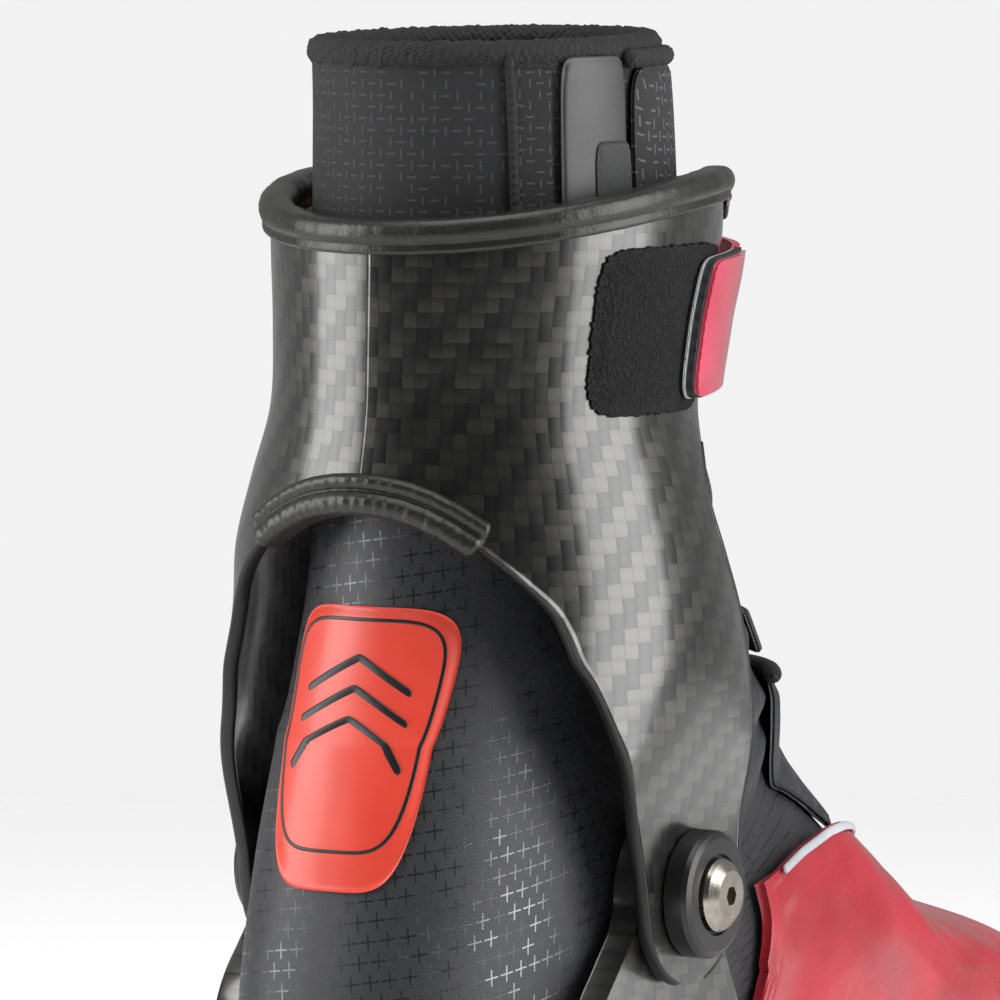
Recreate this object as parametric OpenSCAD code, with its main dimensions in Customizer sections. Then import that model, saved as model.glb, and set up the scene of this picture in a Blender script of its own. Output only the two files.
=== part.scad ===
// Carbon skate cross-country ski boot, right foot.
// X runs from heel to toe, Y towards the inner (medial) side, Z up; Z = 0 is the sole's underside.
// Shapes are worked out from the ankle pivot, and place() moves them into the boot's own frame.

/* [Boot] */
// Overall length, from the back of the heel to the toe
boot_length = 293; // [270:1:330]
// Distance from the back of the heel to the ankle pivot
heel_back = 74; // [70:1:80]
// Height of the ankle pivot above the floor
pivot_z = 97; // [92:1:105]
// Half the width of the bootie at the ankle
boot_hw = 37.5; // [35:0.5:42]
// Half the width of the bootie at the ball of the foot
ball_hw = 45.5; // [43:0.5:50]
// Height of the collar's top edge
collar_z = 266.5; // [255:0.5:320]
// Wall of the padded bootie and its collar
pad_wall = 4; // [2.5:0.5:5]

/* [Cuff] */
// Height of the cuff's rim at the back
rim_z = 231; // [225:1:246]
// How much higher the rim is at the side than at the back
rim_rise = 8.5; // [4:0.5:12]
// Depth of the cuff at its rim, front to back
rim_depth = 102; // [98:1:110]
// Width of the cuff at its rim, side to side
rim_width = 88; // [86:1:96]
// Height of the arch over the heel
arch_z = 179; // [174:1:184]
// Thickness of the carbon cuff
cuff_wall = 2.5; // [2:0.1:3.2]
// Radius of the round end of each cuff arm
arm_r = 18.5; // [16.5:0.5:20]

/* [Pivot] */
// Thickness of the chassis ear that carries the pivot
ear_th = 6; // [5:0.5:8]
// Radius of the ear's round top
ear_r = 16; // [14:0.5:18]
// Radius of the pivot barrel
barrel_r = 7; // [5:0.5:8]
// Radius of the pivot's outer washer
washer_r = 13; // [11:0.5:14]
// Height of the washer above the cuff arm
washer_h = 5.5; // [3:0.5:6.5]
// Radius of the pivot bolt's head
head_r = 7.5; // [6:0.5:9]
// Height of the pivot bolt's head
head_h = 3; // [2.5:0.5:4]
// Thickness of the friction spacer between ear and arm
spacer_th = 1; // [0.6:0.1:1.6]

/* [Sole] */
// Thickness of the outsole under the ball of the foot
sole_front_th = 12.8; // [11:0.2:13.6]
// Thickness of the outsole under the heel
sole_rear_th = 20.3; // [17:0.2:21]
// Width of each binding groove
groove_w = 9; // [7:0.5:11]
// Depth of each binding groove
groove_d = 5; // [4:0.5:6]
// Distance from the middle to each groove's centre line
groove_y = 14; // [12:0.5:17]
// Radius of the toe bar
bar_r = 2; // [1.5:0.25:2.5]
// Thickness of the carbon chassis
chassis_wall = 2.6; // [2:0.2:3.2]

/* [Strap] */
// Width of the cuff strap
strap_w = 29; // [25:1:32]
// Thickness of the strap's webbing
strap_th = 1.6; // [1.2:0.1:2]
// Thickness of the fuzzy loop pad on the cuff
loop_th = 1.2; // [0.8:0.1:1.5]
// Thickness of the hook layer under the strap's end
hook_th = 1; // [0.7:0.1:1.3]

/* [Hidden] */

fit = 0.05;          // gap between faces that touch
seat = 0.3;          // gap between soft or curved faces
loose = 0.8;         // gap under a patch that lies on the bootie
edge_gap = 5;        // angle kept free above the chassis
toe_x = boot_length - heel_back;
pivot_x = heel_back - boot_length / 2;

// ---- tables and curves ---------------------------------------------------------------------
function seg(t, k, i = 0) = (i >= len(t) - 2 || k < t[i + 1][0]) ? i : seg(t, k, i + 1);
function rise(t, i, c) =
    let (a = max(i - 1, 0), b = min(i + 1, len(t) - 1)) (t[b][c] - t[a][c]) / (t[b][0] - t[a][0]);
// Smooth value of column c of a table at key k
function herm(t, k, c) =
    let (
        i = seg(t, k),
        h = t[i + 1][0] - t[i][0],
        x = min(max((k - t[i][0]) / h, 0), 1),
        x2 = x * x,
        x3 = x2 * x
    )
    (2 * x3 - 3 * x2 + 1) * t[i][c] + (x3 - 2 * x2 + x) * h * rise(t, i, c)
    + (3 * x2 - 2 * x3) * t[i + 1][c] + (x3 - x2) * h * rise(t, i + 1, c);
function row(t, k) = [for (c = [1:len(t[0]) - 1]) herm(t, k, c)];
// Smooth curve through points; the first point lies on the mirror line of the first coordinate
function point_at(p, i) =
    i < 0 ? [-p[-i][0], p[-i][1]] : p[min(i, len(p) - 1)];
function curve(p, s) =
    let (
        i = min(floor(s), len(p) - 2),
        t = s - i,
        a = point_at(p, i - 1),
        b = point_at(p, i),
        c = point_at(p, i + 1),
        d = i + 2 > len(p) - 1 ? 2 * c - b : point_at(p, i + 2)
    )
    0.5 * (2 * b + (c - a) * t + (2 * a - 5 * b + 4 * c - d) * t * t
        + (3 * b - a - 3 * c + d) * t * t * t);
// The same curve with free ends
function free_at(p, i) =
    i < 0 ? 2 * p[0] - p[1] : i > len(p) - 1 ? 2 * p[len(p) - 1] - p[len(p) - 2] : p[i];
function free_curve(p, s) =
    let (
        i = min(floor(s), len(p) - 2),
        t = s - i,
        a = free_at(p, i - 1),
        b = free_at(p, i),
        c = free_at(p, i + 1),
        d = free_at(p, i + 2)
    )
    0.5 * (2 * b + (c - a) * t + (2 * a - 5 * b + 4 * c - d) * t * t
        + (3 * b - a - 3 * c + d) * t * t * t);
function unit(v) = v / max(norm(v), 1e-9);
function mix(a, b, f) = a + (b - a) * f;
function power(v, e) = sign(v) * pow(abs(v), e);

// ---- solids from grids of points -----------------------------------------------------------
function quad(a, b, c, d, flip) = flip ? [[a, b, c], [a, c, d]] : [[a, c, b], [a, d, c]];
function facing(p, q, i, j) =
    cross(p[i + 1][j] - p[i][j], p[i][j + 1] - p[i][j]) * (p[i][j] - q[i][j]) < 0;
// A wall between two grids of points, closed along its four edges
module slab(p, q) {
    ni = len(p);
    nj = len(p[0]);
    m = ni * nj;
    flip = facing(p, q, floor((ni - 1) / 2), floor((nj - 1) / 2));
    polyhedron(
        points = [for (r = p) each r, for (r = q) each r],
        faces = [
            for (i = [0:ni - 2], j = [0:nj - 2])
                let (a = i * nj + j, b = a + nj)
                    each concat(quad(a, b, b + 1, a + 1, flip),
                        quad(m + a, m + a + 1, m + b + 1, m + b, flip)),
            for (i = [0:ni - 2])
                let (a = i * nj, b = a + nj, c = a + nj - 1, d = c + nj)
                    each concat(quad(a, m + a, m + b, b, flip), quad(c, d, m + d, m + c, flip)),
            for (j = [0:nj - 2])
                let (a = j, c = (ni - 1) * nj + j)
                    each concat(quad(a, a + 1, m + a + 1, m + a, flip),
                        quad(c, m + c, m + c + 1, c + 1, flip))
        ],
        convexity = 12
    );
}
function mean(r) = [for (c = [0:2]) let (v = [for (p = r) p[c]]) v * [for (x = v) 1] / len(v)];
function turns_in(r) =
    let (i = floor(len(r) / 2))
    cross(r[i + 1][0] - r[i][0], r[i][1] - r[i][0]) * (r[i][0] - mean(r[i])) < 0;
// A solid bar through rings of points, closed at both ends
module bar(r) {
    n = len(r);
    m = len(r[0]);
    flip = turns_in(r);
    polyhedron(
        points = [for (ring = r) each ring],
        faces = [
            for (i = [0:n - 2], j = [0:m - 1])
                let (a = i * m + j, b = i * m + (j + 1) % m)
                    each quad(a, a + m, b + m, b, flip),
            for (j = [1:m - 2]) flip ? [0, j, j + 1] : [0, j + 1, j],
            for (j = [1:m - 2])
                let (e = (n - 1) * m) flip ? [e, e + j + 1, e + j] : [e, e + j, e + j + 1]
        ],
        convexity = 8
    );
}
// A tube between outer and inner rings; each end is capped or open
module sleeve(r, q, capped) {
    n = len(r);
    m = len(r[0]);
    k = n * m;
    flip = turns_in(r);
    polyhedron(
        points = [for (ring = r) each ring, for (ring = q) each ring],
        faces = [
            for (i = [0:n - 2], j = [0:m - 1])
                let (a = i * m + j, b = i * m + (j + 1) % m)
                    each concat(quad(a, a + m, b + m, b, flip),
                        quad(k + a, k + b, k + b + m, k + a + m, flip)),
            for (j = [0:m - 1])
                let (a = (n - 1) * m + j, b = (n - 1) * m + (j + 1) % m)
                    each quad(a, k + a, k + b, b, flip),
            if (!capped)
                for (j = [0:m - 1])
                    let (a = j, b = (j + 1) % m)
                        each quad(a, b, k + b, k + a, flip),
            if (capped)
                for (j = [1:m - 2]) flip ? [0, j, j + 1] : [0, j + 1, j],
            if (capped)
                for (j = [1:m - 2]) flip ? [k, k + j + 1, k + j] : [k, k + j, k + j + 1]
        ],
        convexity = 12
    );
}
module place() translate([pivot_x, 0, 0]) children();

// ---- cuff surface --------------------------------------------------------------------------
ear_gap = 1.6;                                     // room between bootie and ear
ear_in = boot_hw + ear_gap;
ear_out = ear_in + ear_th;
spot = 0.15;                                       // depth of each spot face in the arm
arm_in = ear_out + spacer_th + fit - spot;
arm_out = arm_in + cuff_wall;
cz = (rim_z - pivot_z) / 134;                      // height scale of the cuff
ra = rim_depth / 2;
rb = max(rim_width / 2, boot_hw + 6.5);            // the rim clears the collar
// Height, centre x, centre y, half depth, half width and squareness of level sections
CUFF = [
    [pivot_z - 22, 0, 0, 57, arm_out, 5],
    [pivot_z, 0, 0, 57, arm_out, 5],
    [pivot_z + 15 * cz, -1, 0, 57, arm_out + 0.2, 4],
    [pivot_z + 33 * cz, -2, -1.8, 57, arm_out + 2.3, 2.5],
    [pivot_z + 46 * cz, -3, -2.2, 57, arm_out + 3.2, 2.1],
    [pivot_z + 57 * cz, -3, -2, 55.3, arm_out + 2.7, 2],
    [pivot_z + 70 * cz, -3.3, -1.3, ra + 2, arm_out + 1.6, 2],
    [pivot_z + 84 * cz, -3.5, -1.5, ra - 1, rb + 2.2, 2],
    [pivot_z + 98 * cz, -4.2, -2, ra - 3.8, rb - 1.8, 2],
    [pivot_z + 114 * cz, -3, -2.5, ra - 2.5, rb - 1.6, 2],
    [pivot_z + 131 * cz, -1, -3, ra, rb, 2],
    [pivot_z + 150 * cz, -1, -3, ra, rb, 2]
];
function cuff_at(u, z) =
    let (
        s = row(CUFF, z),
        r = pow(pow(abs(cos(u)), s[4]) + pow(abs(sin(u)), s[4]), -1 / s[4])
    )
    [s[0] - s[2] * cos(u) * r, s[1] - s[3] * sin(u) * r, z];
function cuff_normal(u, z) =
    unit(cross(cuff_at(u + 0.5, z) - cuff_at(u - 0.5, z), cuff_at(u, z + 0.5) - cuff_at(u, z - 0.5)));
// A point on the cuff: angle from the back (outer side positive), height, distance outwards
function cuff_pt(u, z, off) = cuff_at(u, z) + off * cuff_normal(u, z);
// The angle at which the cuff's side passes a given x
function angle_at(x, z) =
    let (s = row(CUFF, z), a = (s[0] - x) / s[2])
    atan2(pow(1 - pow(abs(a), s[4]), 1 / s[4]), a);
function side(x, z) = [angle_at(x, z), z];
function tip(a, f) = side(f * arm_r * sin(a), pivot_z - arm_r * cos(a));
// The arch and the arm's rear edge, as angle and height
INNER = [
    [0, arch_z],
    [12, arch_z - 1.2],
    [22, arch_z - 4.4],
    [31, arch_z - 9.2],
    [38, arch_z - 14],
    [43.5, arch_z - 18.5],
    [47.5, arch_z - 22.5],
    [49.8, arch_z - 26.5],
    [51.4, arch_z - 30],
    side(-37.6, pivot_z + 49.5),
    side(-35.6, pivot_z + 45.5),
    side(-33.6, pivot_z + 41),
    side(-31.2, pivot_z + 35.5),
    side(-28.4, pivot_z + 29),
    side(-25.2, pivot_z + 21.5),
    side(-22, pivot_z + 13.5),
    side(-19.6, pivot_z + 6),
    tip(88, -1),
    tip(62, -1),
    tip(38, -1),
    tip(14, -1)
];
// The rim and the front edge, as angle and height
OUTER = [
    [0, rim_z],
    [20, rim_z + 0.05 * rim_rise],
    [40, rim_z + 0.22 * rim_rise],
    [60, rim_z + 0.48 * rim_rise],
    [80, rim_z + 0.76 * rim_rise],
    [100, rim_z + 0.95 * rim_rise],
    [119, rim_z + rim_rise],
    [134, rim_z + 0.6 * rim_rise],
    [139, rim_z - 8],
    [130, rim_z - 24],
    [114, rim_z - 38],
    side(7, pivot_z + 82 * cz),
    side(10.5, pivot_z + 68 * cz),
    side(18.5, pivot_z + 54 * cz),
    side(21.8, pivot_z + 40 * cz),
    side(21.6, pivot_z + 26 * cz),
    side(20.2, pivot_z + 12 * cz),
    tip(88, 1),
    tip(62, 1),
    tip(38, 1),
    tip(14, 1)
];
ribbon = len(INNER) - 1;
function ribbon_uz(s, f) =
    let (a = curve(INNER, abs(s)), b = curve(OUTER, abs(s)), p = mix(a, b, f))
    [s < 0 ? -p[0] : p[0], p[1]];
function ribbon_pt(s, f, off) = let (p = ribbon_uz(s, f)) cuff_pt(p[0], p[1], off);
function ribbon_grid(off, n, m) =
    [for (i = [-n:n]) [for (j = [0:m]) ribbon_pt(i * ribbon / n, j / m, off)]];
module cuff_shell() color([0.16, 0.16, 0.17]) place() {
    difference() {
        slab(ribbon_grid(0, shell_cols, 11), ribbon_grid(-cuff_wall, shell_cols, 11));
        for (s = [-1, 1]) translate([0, 0, pivot_z]) rotate([90, 0, 0]) {
            cylinder(r = barrel_r + fit, h = 2 * arm_out + 20, center = true, $fn = 64);
            translate([0, 0, s > 0 ? arm_out - spot : -arm_out + spot - 5])
                cylinder(r = washer_r + 1, h = 5, $fn = 64);
            translate([0, 0, s > 0 ? arm_in + spot - 5 : -arm_in - spot])
                cylinder(r = washer_r + 1, h = 5, $fn = 64);
        }
    }
}
// Frame on an edge of the cuff: place, outward normal, and the way out of the sheet
function edge_frame(s, f) =
    let (
        uz = ribbon_uz(s, f),
        n = cuff_normal(uz[0], uz[1]),
        t = unit(ribbon_pt(s + 0.05, f, 0) - ribbon_pt(s - 0.05, f, 0)),
        c = unit(cross(t, n)),
        away = ribbon_pt(s, f, 0) - ribbon_pt(s, f < 0.5 ? f + 0.05 : f - 0.05, 0)
    )
    [ribbon_pt(s, f, 0), n, c * (c * away < 0 ? -1 : 1)];
lip = 1.1;             // thickness of the trim's lips
lip_gap = 0.45;        // room between trim and cuff
// Trim section for a bead and lips of given height: along the normal, and out of the sheet
function trim(bead, lip_h) = [
    [lip_gap, lip_gap],
    [lip_gap, -lip_h],
    [lip_gap + lip, -lip_h],
    [lip_gap + lip + 0.3, 0.5 * (bead - lip_h)],
    [lip_gap + lip, 0.6 * bead],
    [0.2, bead],
    [-cuff_wall - 0.2, bead],
    [-cuff_wall - lip_gap - lip, 0.6 * bead],
    [-cuff_wall - lip_gap - lip - 0.3, 0.5 * (bead - lip_h)],
    [-cuff_wall - lip_gap - lip, -lip_h],
    [-cuff_wall - lip_gap, -lip_h],
    [-cuff_wall - lip_gap, lip_gap]
];
shell_cols = 44;       // columns of facets in each half of the cuff
module edge_trim(f, n, section) {
    bar([for (i = [-n:n])
        let (e = edge_frame(i * ribbon / shell_cols, f))
            [for (p = section) e[0] + p[0] * e[1] + p[1] * e[2]]]);
}
module rim_trim() color([0.09, 0.09, 0.09]) place() edge_trim(1, 16, trim(1.2, 4.2));
module arch_trim() color([0.09, 0.09, 0.09]) place() edge_trim(0, 6, trim(4.6, 1.4));

// A patch on the cuff between two angles; low and high give its heights at fraction f
function patch_rows(u0, u1, n, m, off, low, high) =
    [for (i = [0:n]) [for (j = [0:m])
        cuff_pt(mix(u0, u1, i / n), mix(low[0] + (low[1] - low[0]) * i / n,
            high[0] + (high[1] - high[0]) * i / n, j / m), off)]];
module patch(u0, u1, n, m, off, th, low, high)
    slab(patch_rows(u0, u1, n, m, off + th, low, high), patch_rows(u0, u1, n, m, off, low, high));
pad_low = rim_z - 35.5;
pad_high = rim_z - 3.5;
module loop_pad() color([0.05, 0.05, 0.05]) place()
    patch(61, 108, 12, 3, fit + 0.1, loop_th, [pad_low, pad_low], [pad_high, pad_high]);

// ---- strap ---------------------------------------------------------------------------------
tip_u = 93;            // angle of the strap's free end
fold_u = 129;          // angle where the free end peels from the band
fold_gap = 3.8;         // angle left free at the peel
anchor_u = 244;        // angle where the band swings from its anchor
anchor_end = 262;
strap_mid = rim_z - 20;
strap_off = loop_th + 0.15 + seat;                 // strap stack above the loop pad
core_off = strap_off + hook_th + fit;
face_off = core_off + strap_th + fit;
face_th = 0.7;
// Height of the strap's middle at an angle, and half its width there
function strap_z(u) = strap_mid + 5 * min(max((u - tip_u) / 90, 0), 1);
function strap_hw(u) = strap_w / 2 - 1.5 * min(max((u - tip_u) / 90, 0), 1);
function strap_rows(u0, u1, n, off, low, high) =
    [for (i = [0:n]) let (u = mix(u0, u1, i / n))
        [for (j = [0:3]) cuff_pt(u, strap_z(u) + strap_hw(u) * mix(low, high, j / 3), off)]];
module strap(u0, u1, n, off, th, low = -1, high = 1)
    slab(strap_rows(u0, u1, n, off + th, low, high), strap_rows(u0, u1, n, off, low, high));
module hook_pad() color([0.04, 0.04, 0.04]) place()
    strap(tip_u, fold_u - 8, 8, strap_off, hook_th, -0.97, 0.97);
module strap_tip() color([0.12, 0.12, 0.12]) place()
    strap(tip_u + 0.3, fold_u - fold_gap, 10, core_off, strap_th);
module strap_face() color([0.8, 0.18, 0.22]) place()
    strap(tip_u + 1.6, fold_u - fold_gap, 10, face_off, face_th, -0.96, 0.96);
module strap_band() color([0.75, 0.16, 0.2]) place()
    strap(fold_u, anchor_u, 26, core_off, strap_th);
module strap_corner() color([0.5, 0.5, 0.52]) place()
    strap(fold_u + 1, fold_u + 14, 4, face_off + 0.25, 0.5, -0.94, -0.3);
module strap_anchor() color([0.12, 0.12, 0.12]) place() difference() {
    strap(anchor_u + 1, anchor_end, 6, 0.15, core_off + strap_th - 0.15);
    rivet_axes() cylinder(r = rivet_r + fit, h = 30, center = true, $fn = 32);
}
rivet_r = 2;
module rivet_axes() {
    u = (anchor_u + anchor_end) / 2 + 1;
    for (h = [-8, 8]) {
        p = cuff_pt(u, strap_z(u) + h, 0);
        n = cuff_normal(u, strap_z(u) + h);
        translate(p) rotate([0, acos(n[2]), atan2(n[1], n[0])]) children();
    }
}
module strap_rivets() color([0.7, 0.7, 0.72]) place() rivet_axes() {
    translate([0, 0, core_off + strap_th + 0.15]) cylinder(r = 4, h = 1, $fn = 32);
    translate([0, 0, 0.15 + fit]) cylinder(r = rivet_r, h = core_off + strap_th + 0.4, $fn = 32);
}

// ---- bootie surface ------------------------------------------------------------------------
// The bootie is cut by planes: upright ones over the foot, a fan of them round the heel that
// turns about the point FX, FZ in front of the instep, and level ones up the leg. The key is
// negative over the foot, 0 to 90 through the fan, and above 90 up the leg.
FX = 105;
FZ = pivot_z + 33;
fore = toe_x - FX;                                 // length of the part ahead of the fan
leg = collar_z - FZ;
lk = leg / 139;
pz = pivot_z - 97;
// Key, near distance, far distance, half width, centre y, squareness at the near and far side
BOOT = [
    [-fore + 1, 96 + pz, 109 + pz, 11, 2, 2, 3],
    [-fore + 4, 89 + pz, 111.5 + pz, 21, 2, 2, 4],
    [-fore + 12, 78 + pz, 113 + pz, 33, 2, 2, 5],
    [-fore * 0.74, 69 + pz, 113.5 + pz, ball_hw - 4.5, 1.5, 2, 6],
    [-fore * 0.54, 60 + pz, 113.5 + pz, ball_hw - 0.5, 1, 2, 6],
    [-fore * 0.34, 54 + pz, 113 + pz, ball_hw, 0.5, 2, 6],
    [-fore * 0.15, 47 + pz * 0.6, 111.5 + pz, ball_hw - 2, 0, 2, 6],
    [0, 32 + pz * 0.3, 110 + pz, ball_hw - 4.5, 0, 2, 5.5],
    [20, 23.5, (108.5 + pz) / cos(20), boot_hw + 2.5, 0, 2, 5],
    [38, 19.5, (107 + pz) / cos(38), boot_hw - 0.5, 0, 2.1, 5],
    [50, 18, (106 + pz) / cos(50), boot_hw - 1, 0, 2.2, 4.5],
    [56, 17.3, (105 + pz) / cos(56), boot_hw - 1, 0, 2.3, 3.8],
    [60, 17, 199 + pz * 0.5, boot_hw - 0.8, 0, 2.3, 3],
    [65.5, 16.8, 191.5 + pz * 0.4, boot_hw - 0.6, 0, 2.3, 2.8],
    [72.6, 16.4, 180.5, boot_hw - 0.2, 0, 2.3, 2.7],
    [80.8, 16.2, 169.7, boot_hw, 0, 2.3, 2.5],
    [90, 16, 161.5, boot_hw - 0.3, -0.3, 2.2, 2.3],
    [90 + 15 * cz, 26, 156, boot_hw - 1.5, -0.7, 2.2, 2.2],
    [90 + 30 * cz, 37, 152.5, boot_hw - 2.7, -1, 2.1, 2.1],
    [90 + 48 * cz, 42, 151, boot_hw - 2.8, -1.6, 2, 2],
    [90 + 59 * cz, 54, 150.2, boot_hw - 2.9, -1.9, 2, 2],
    [90 + 70 * cz, 62.5, 149.8, boot_hw - 3, -2.2, 2, 2],
    [90 + 86 * cz, 64, 149.8, boot_hw - 3, -2.4, 2, 2],
    [90 + 105 * cz, 68, 149.6, boot_hw - 3.6, -2.4, 2, 2],
    [90 + leg, 70.5, 149.4, boot_hw - 4, -2.4, 2, 2]
];
function fan(k) =
    k < 0 ? [FX - k, FZ, 0, -1] : k < 90 ? [FX, FZ, -sin(k), -cos(k)] : [FX, FZ + k - 90, -1, 0];
// A point on the bootie: key, angle round the section (0 at the front, + to the inner side),
// and distance outwards
function boot_at(k, w, off) =
    let (
        s = row(BOOT, k),
        f = fan(k),
        e = mix(s[4], s[5], (1 - cos(w)) / 2),
        m = (s[0] + s[1]) / 2,
        h = (s[1] - s[0]) / 2 + off,
        r = m - h * power(cos(w), 2 / e)
    )
    [f[0] + r * f[2], s[3] + (s[2] + off) * power(sin(w), 2 / e), f[1] + r * f[3]];
function boot_ring(k, off, n) = [for (j = [0:n - 1]) boot_at(k, j * 360 / n, off)];
// Upper edge of the foot part and lower edge of the collar, as keys round the section
function foot_end(w) = let (c = cos(w)) 92 + (c > 0 ? 18 : 33) * c * c;
function collar_start(w) = let (c = cos(w)) 110 + (c > 0 ? 27 : 33) * c * c;
FOOT_KEYS = [
    -fore + 1, -fore + 4, -fore + 12, -fore * 0.74, -fore * 0.54, -fore * 0.34, -fore * 0.15,
    0, 14, 28, 40, 50, 53, 56, 58, 60, 62.5, 65.5, 72
];
foot_last = len(FOOT_KEYS) - 1;
turn_rows = 5;
function foot_key(i, w, d) =
    i <= foot_last ? FOOT_KEYS[i] + (i < 3 ? d : 0)
    : mix(FOOT_KEYS[foot_last], foot_end(w), (i - foot_last) / turn_rows);
vamp_last = 6;         // ring at which the vamp is sewn to the quarter
function foot_rings(off, n, d, i0, i1, away) =
    [for (i = [i0:i1])
        [for (j = [0:n - 1]) let (w = j * 360 / n)
            boot_at(foot_key(i, w, d) + (i == vamp_last ? away : 0), w, off)]];
module bootie_vamp() color([0.2, 0.2, 0.21]) place()
    sleeve(foot_rings(0, 40, 0, 0, vamp_last, -fit), foot_rings(-pad_wall, 40, 2.5, 0, vamp_last, -fit),
        true);
module bootie_quarter() color([0.2, 0.2, 0.21]) place() {
    last = foot_last + turn_rows;
    sleeve(foot_rings(0, 40, 0, vamp_last, last, fit),
        foot_rings(-pad_wall, 40, 0, vamp_last, last, fit), false);
}
collar_rows = 11;
function collar_rings(off, n) =
    [for (i = [0:collar_rows])
        [for (j = [0:n - 1]) let (w = j * 360 / n)
            boot_at(mix(collar_start(w), 90 + leg, i / collar_rows), w, off)]];
module liner_collar() color([0.11, 0.11, 0.12]) place()
    sleeve(collar_rings(0, 36), collar_rings(-pad_wall, 36), false);

// A patch on the bootie between two keys and two angles
function boot_rows(k0, k1, w0, w1, n, m, off) =
    [for (i = [0:n]) [for (j = [0:m]) boot_at(mix(k0, k1, i / n), mix(w0, w1, j / m), off)]];
module boot_patch(k0, k1, w0, w1, n, m, off, th)
    slab(boot_rows(k0, k1, w0, w1, n, m, off + th), boot_rows(k0, k1, w0, w1, n, m, off));
// A cord on the bootie through key and angle pairs; half is its radius
module boot_cord(path, off, half, n, sides) {
    r = [for (i = [0:n]) let (p = free_curve(path, i * (len(path) - 1) / n)) boot_at(p[0], p[1], off)];
    bar([for (i = [0:n])
        let (
            p = free_curve(path, i * (len(path) - 1) / n),
            t = unit(r[min(i + 1, n)] - r[max(i - 1, 0)]),
            out = boot_at(p[0], p[1], off + 1) - r[i],
            a = unit(out - (out * t) * t),
            b = cross(t, a)
        )
        [for (j = [0:sides - 1])
            r[i] + half * (cos(j * 360 / sides) * a + sin(j * 360 / sides) * b)]]);
}

// ---- collar pieces -------------------------------------------------------------------------
top_key = 90 + leg;
bind_h = 3.4;
module collar_binding() color([0.04, 0.04, 0.04]) place() {
    lift = top_key + seat;
    rings = [for (p = [[1.2, 0], [1.5, 1.4], [0.6, 2.8], [-0.9, bind_h], [-pad_wall + 0.9, bind_h],
        [-pad_wall - 0.6, 2.8], [-pad_wall - 1.5, 1.4], [-pad_wall - 1.2, 0]])
        [for (j = [0:39]) let (w = j * 9, b = boot_at(top_key, w, p[0]))
            [b[0], b[1], collar_z + seat + p[1]]]];
    n = len(rings);
    polyhedron(
        points = [for (r = rings) each r],
        faces = [for (i = [0:n - 1], j = [0:39])
            let (a = i * 40 + j, b = i * 40 + (j + 1) % 40, c = ((i + 1) % n) * 40 + j,
                d = ((i + 1) % n) * 40 + (j + 1) % 40)
                each [[a, c, b], [b, c, d]]],
        convexity = 8
    );
}
flap_w0 = -121;
flap_w1 = -96;
panel_w0 = -93;
panel_w1 = 48;
panel_off = 0.75;
panel_th = 1.5;
flap_low = 90 + 84 * lk;
module collar_piping() color([0.03, 0.03, 0.03]) place()
    boot_cord([[top_key - 1, -138], [90 + 118 * lk, -137], [flap_low, -136]], 0.95, 0.9, 8, 8);
module collar_flap() color([0.25, 0.25, 0.26]) place()
    boot_patch(flap_low, top_key - 1, flap_w0, flap_w1, 6, 4, panel_off, 1);
module flap_webbing() color([0.1, 0.1, 0.1]) place()
    boot_patch(flap_low, 90 + 104 * lk, -110, flap_w1, 2, 3, panel_off + 1 + fit + 0.05, 0.6);
module front_panel() color([0.22, 0.22, 0.23]) place()
    boot_patch(90 + 70 * lk, top_key - 3, panel_w0, panel_w1, 9, 16, panel_off, panel_th);
module panel_binding() color([0.04, 0.04, 0.04]) place() {
    n = 16;
    bar([for (i = [0:n]) let (w = mix(panel_w0, panel_w1, i / n))
        [for (p = [[panel_off + fit, 0], [panel_off - 0.1, 1.6], [panel_off + 1, 2.6],
            [panel_off + panel_th, 2.2], [panel_off + panel_th + 0.5, 1],
            [panel_off + panel_th - fit, 0]])
            let (b = boot_at(top_key - 3, w, p[0])) [b[0], b[1], collar_z - 3 + fit + p[1]]]]);
}

// ---- foot pieces ---------------------------------------------------------------------------
cover_off = 2.9;         // room under the cover for the lace
cover_th = 1;
// Rear edge of the cover and its lower edge, as key and angle; the first points are on the ridge
COVER_IN = [
    [-14, 0],
    [-12.5, 14],
    [-6, 28],
    [6, 37],
    [18, 44],
    [30, 51],
    [42, 59],
    [51, 66],
    [57, 74]
];
COVER_OUT = [
    [-fore * 0.72, 0],
    [-fore * 0.72, 32],
    [-fore * 0.69, 62],
    [-fore * 0.62, 88],
    [-fore * 0.46, 106],
    [-fore * 0.2, 114],
    [8, 114],
    [32, 106],
    [47, 93]
];
function flip_pair(p) = [p[1], p[0]];
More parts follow.
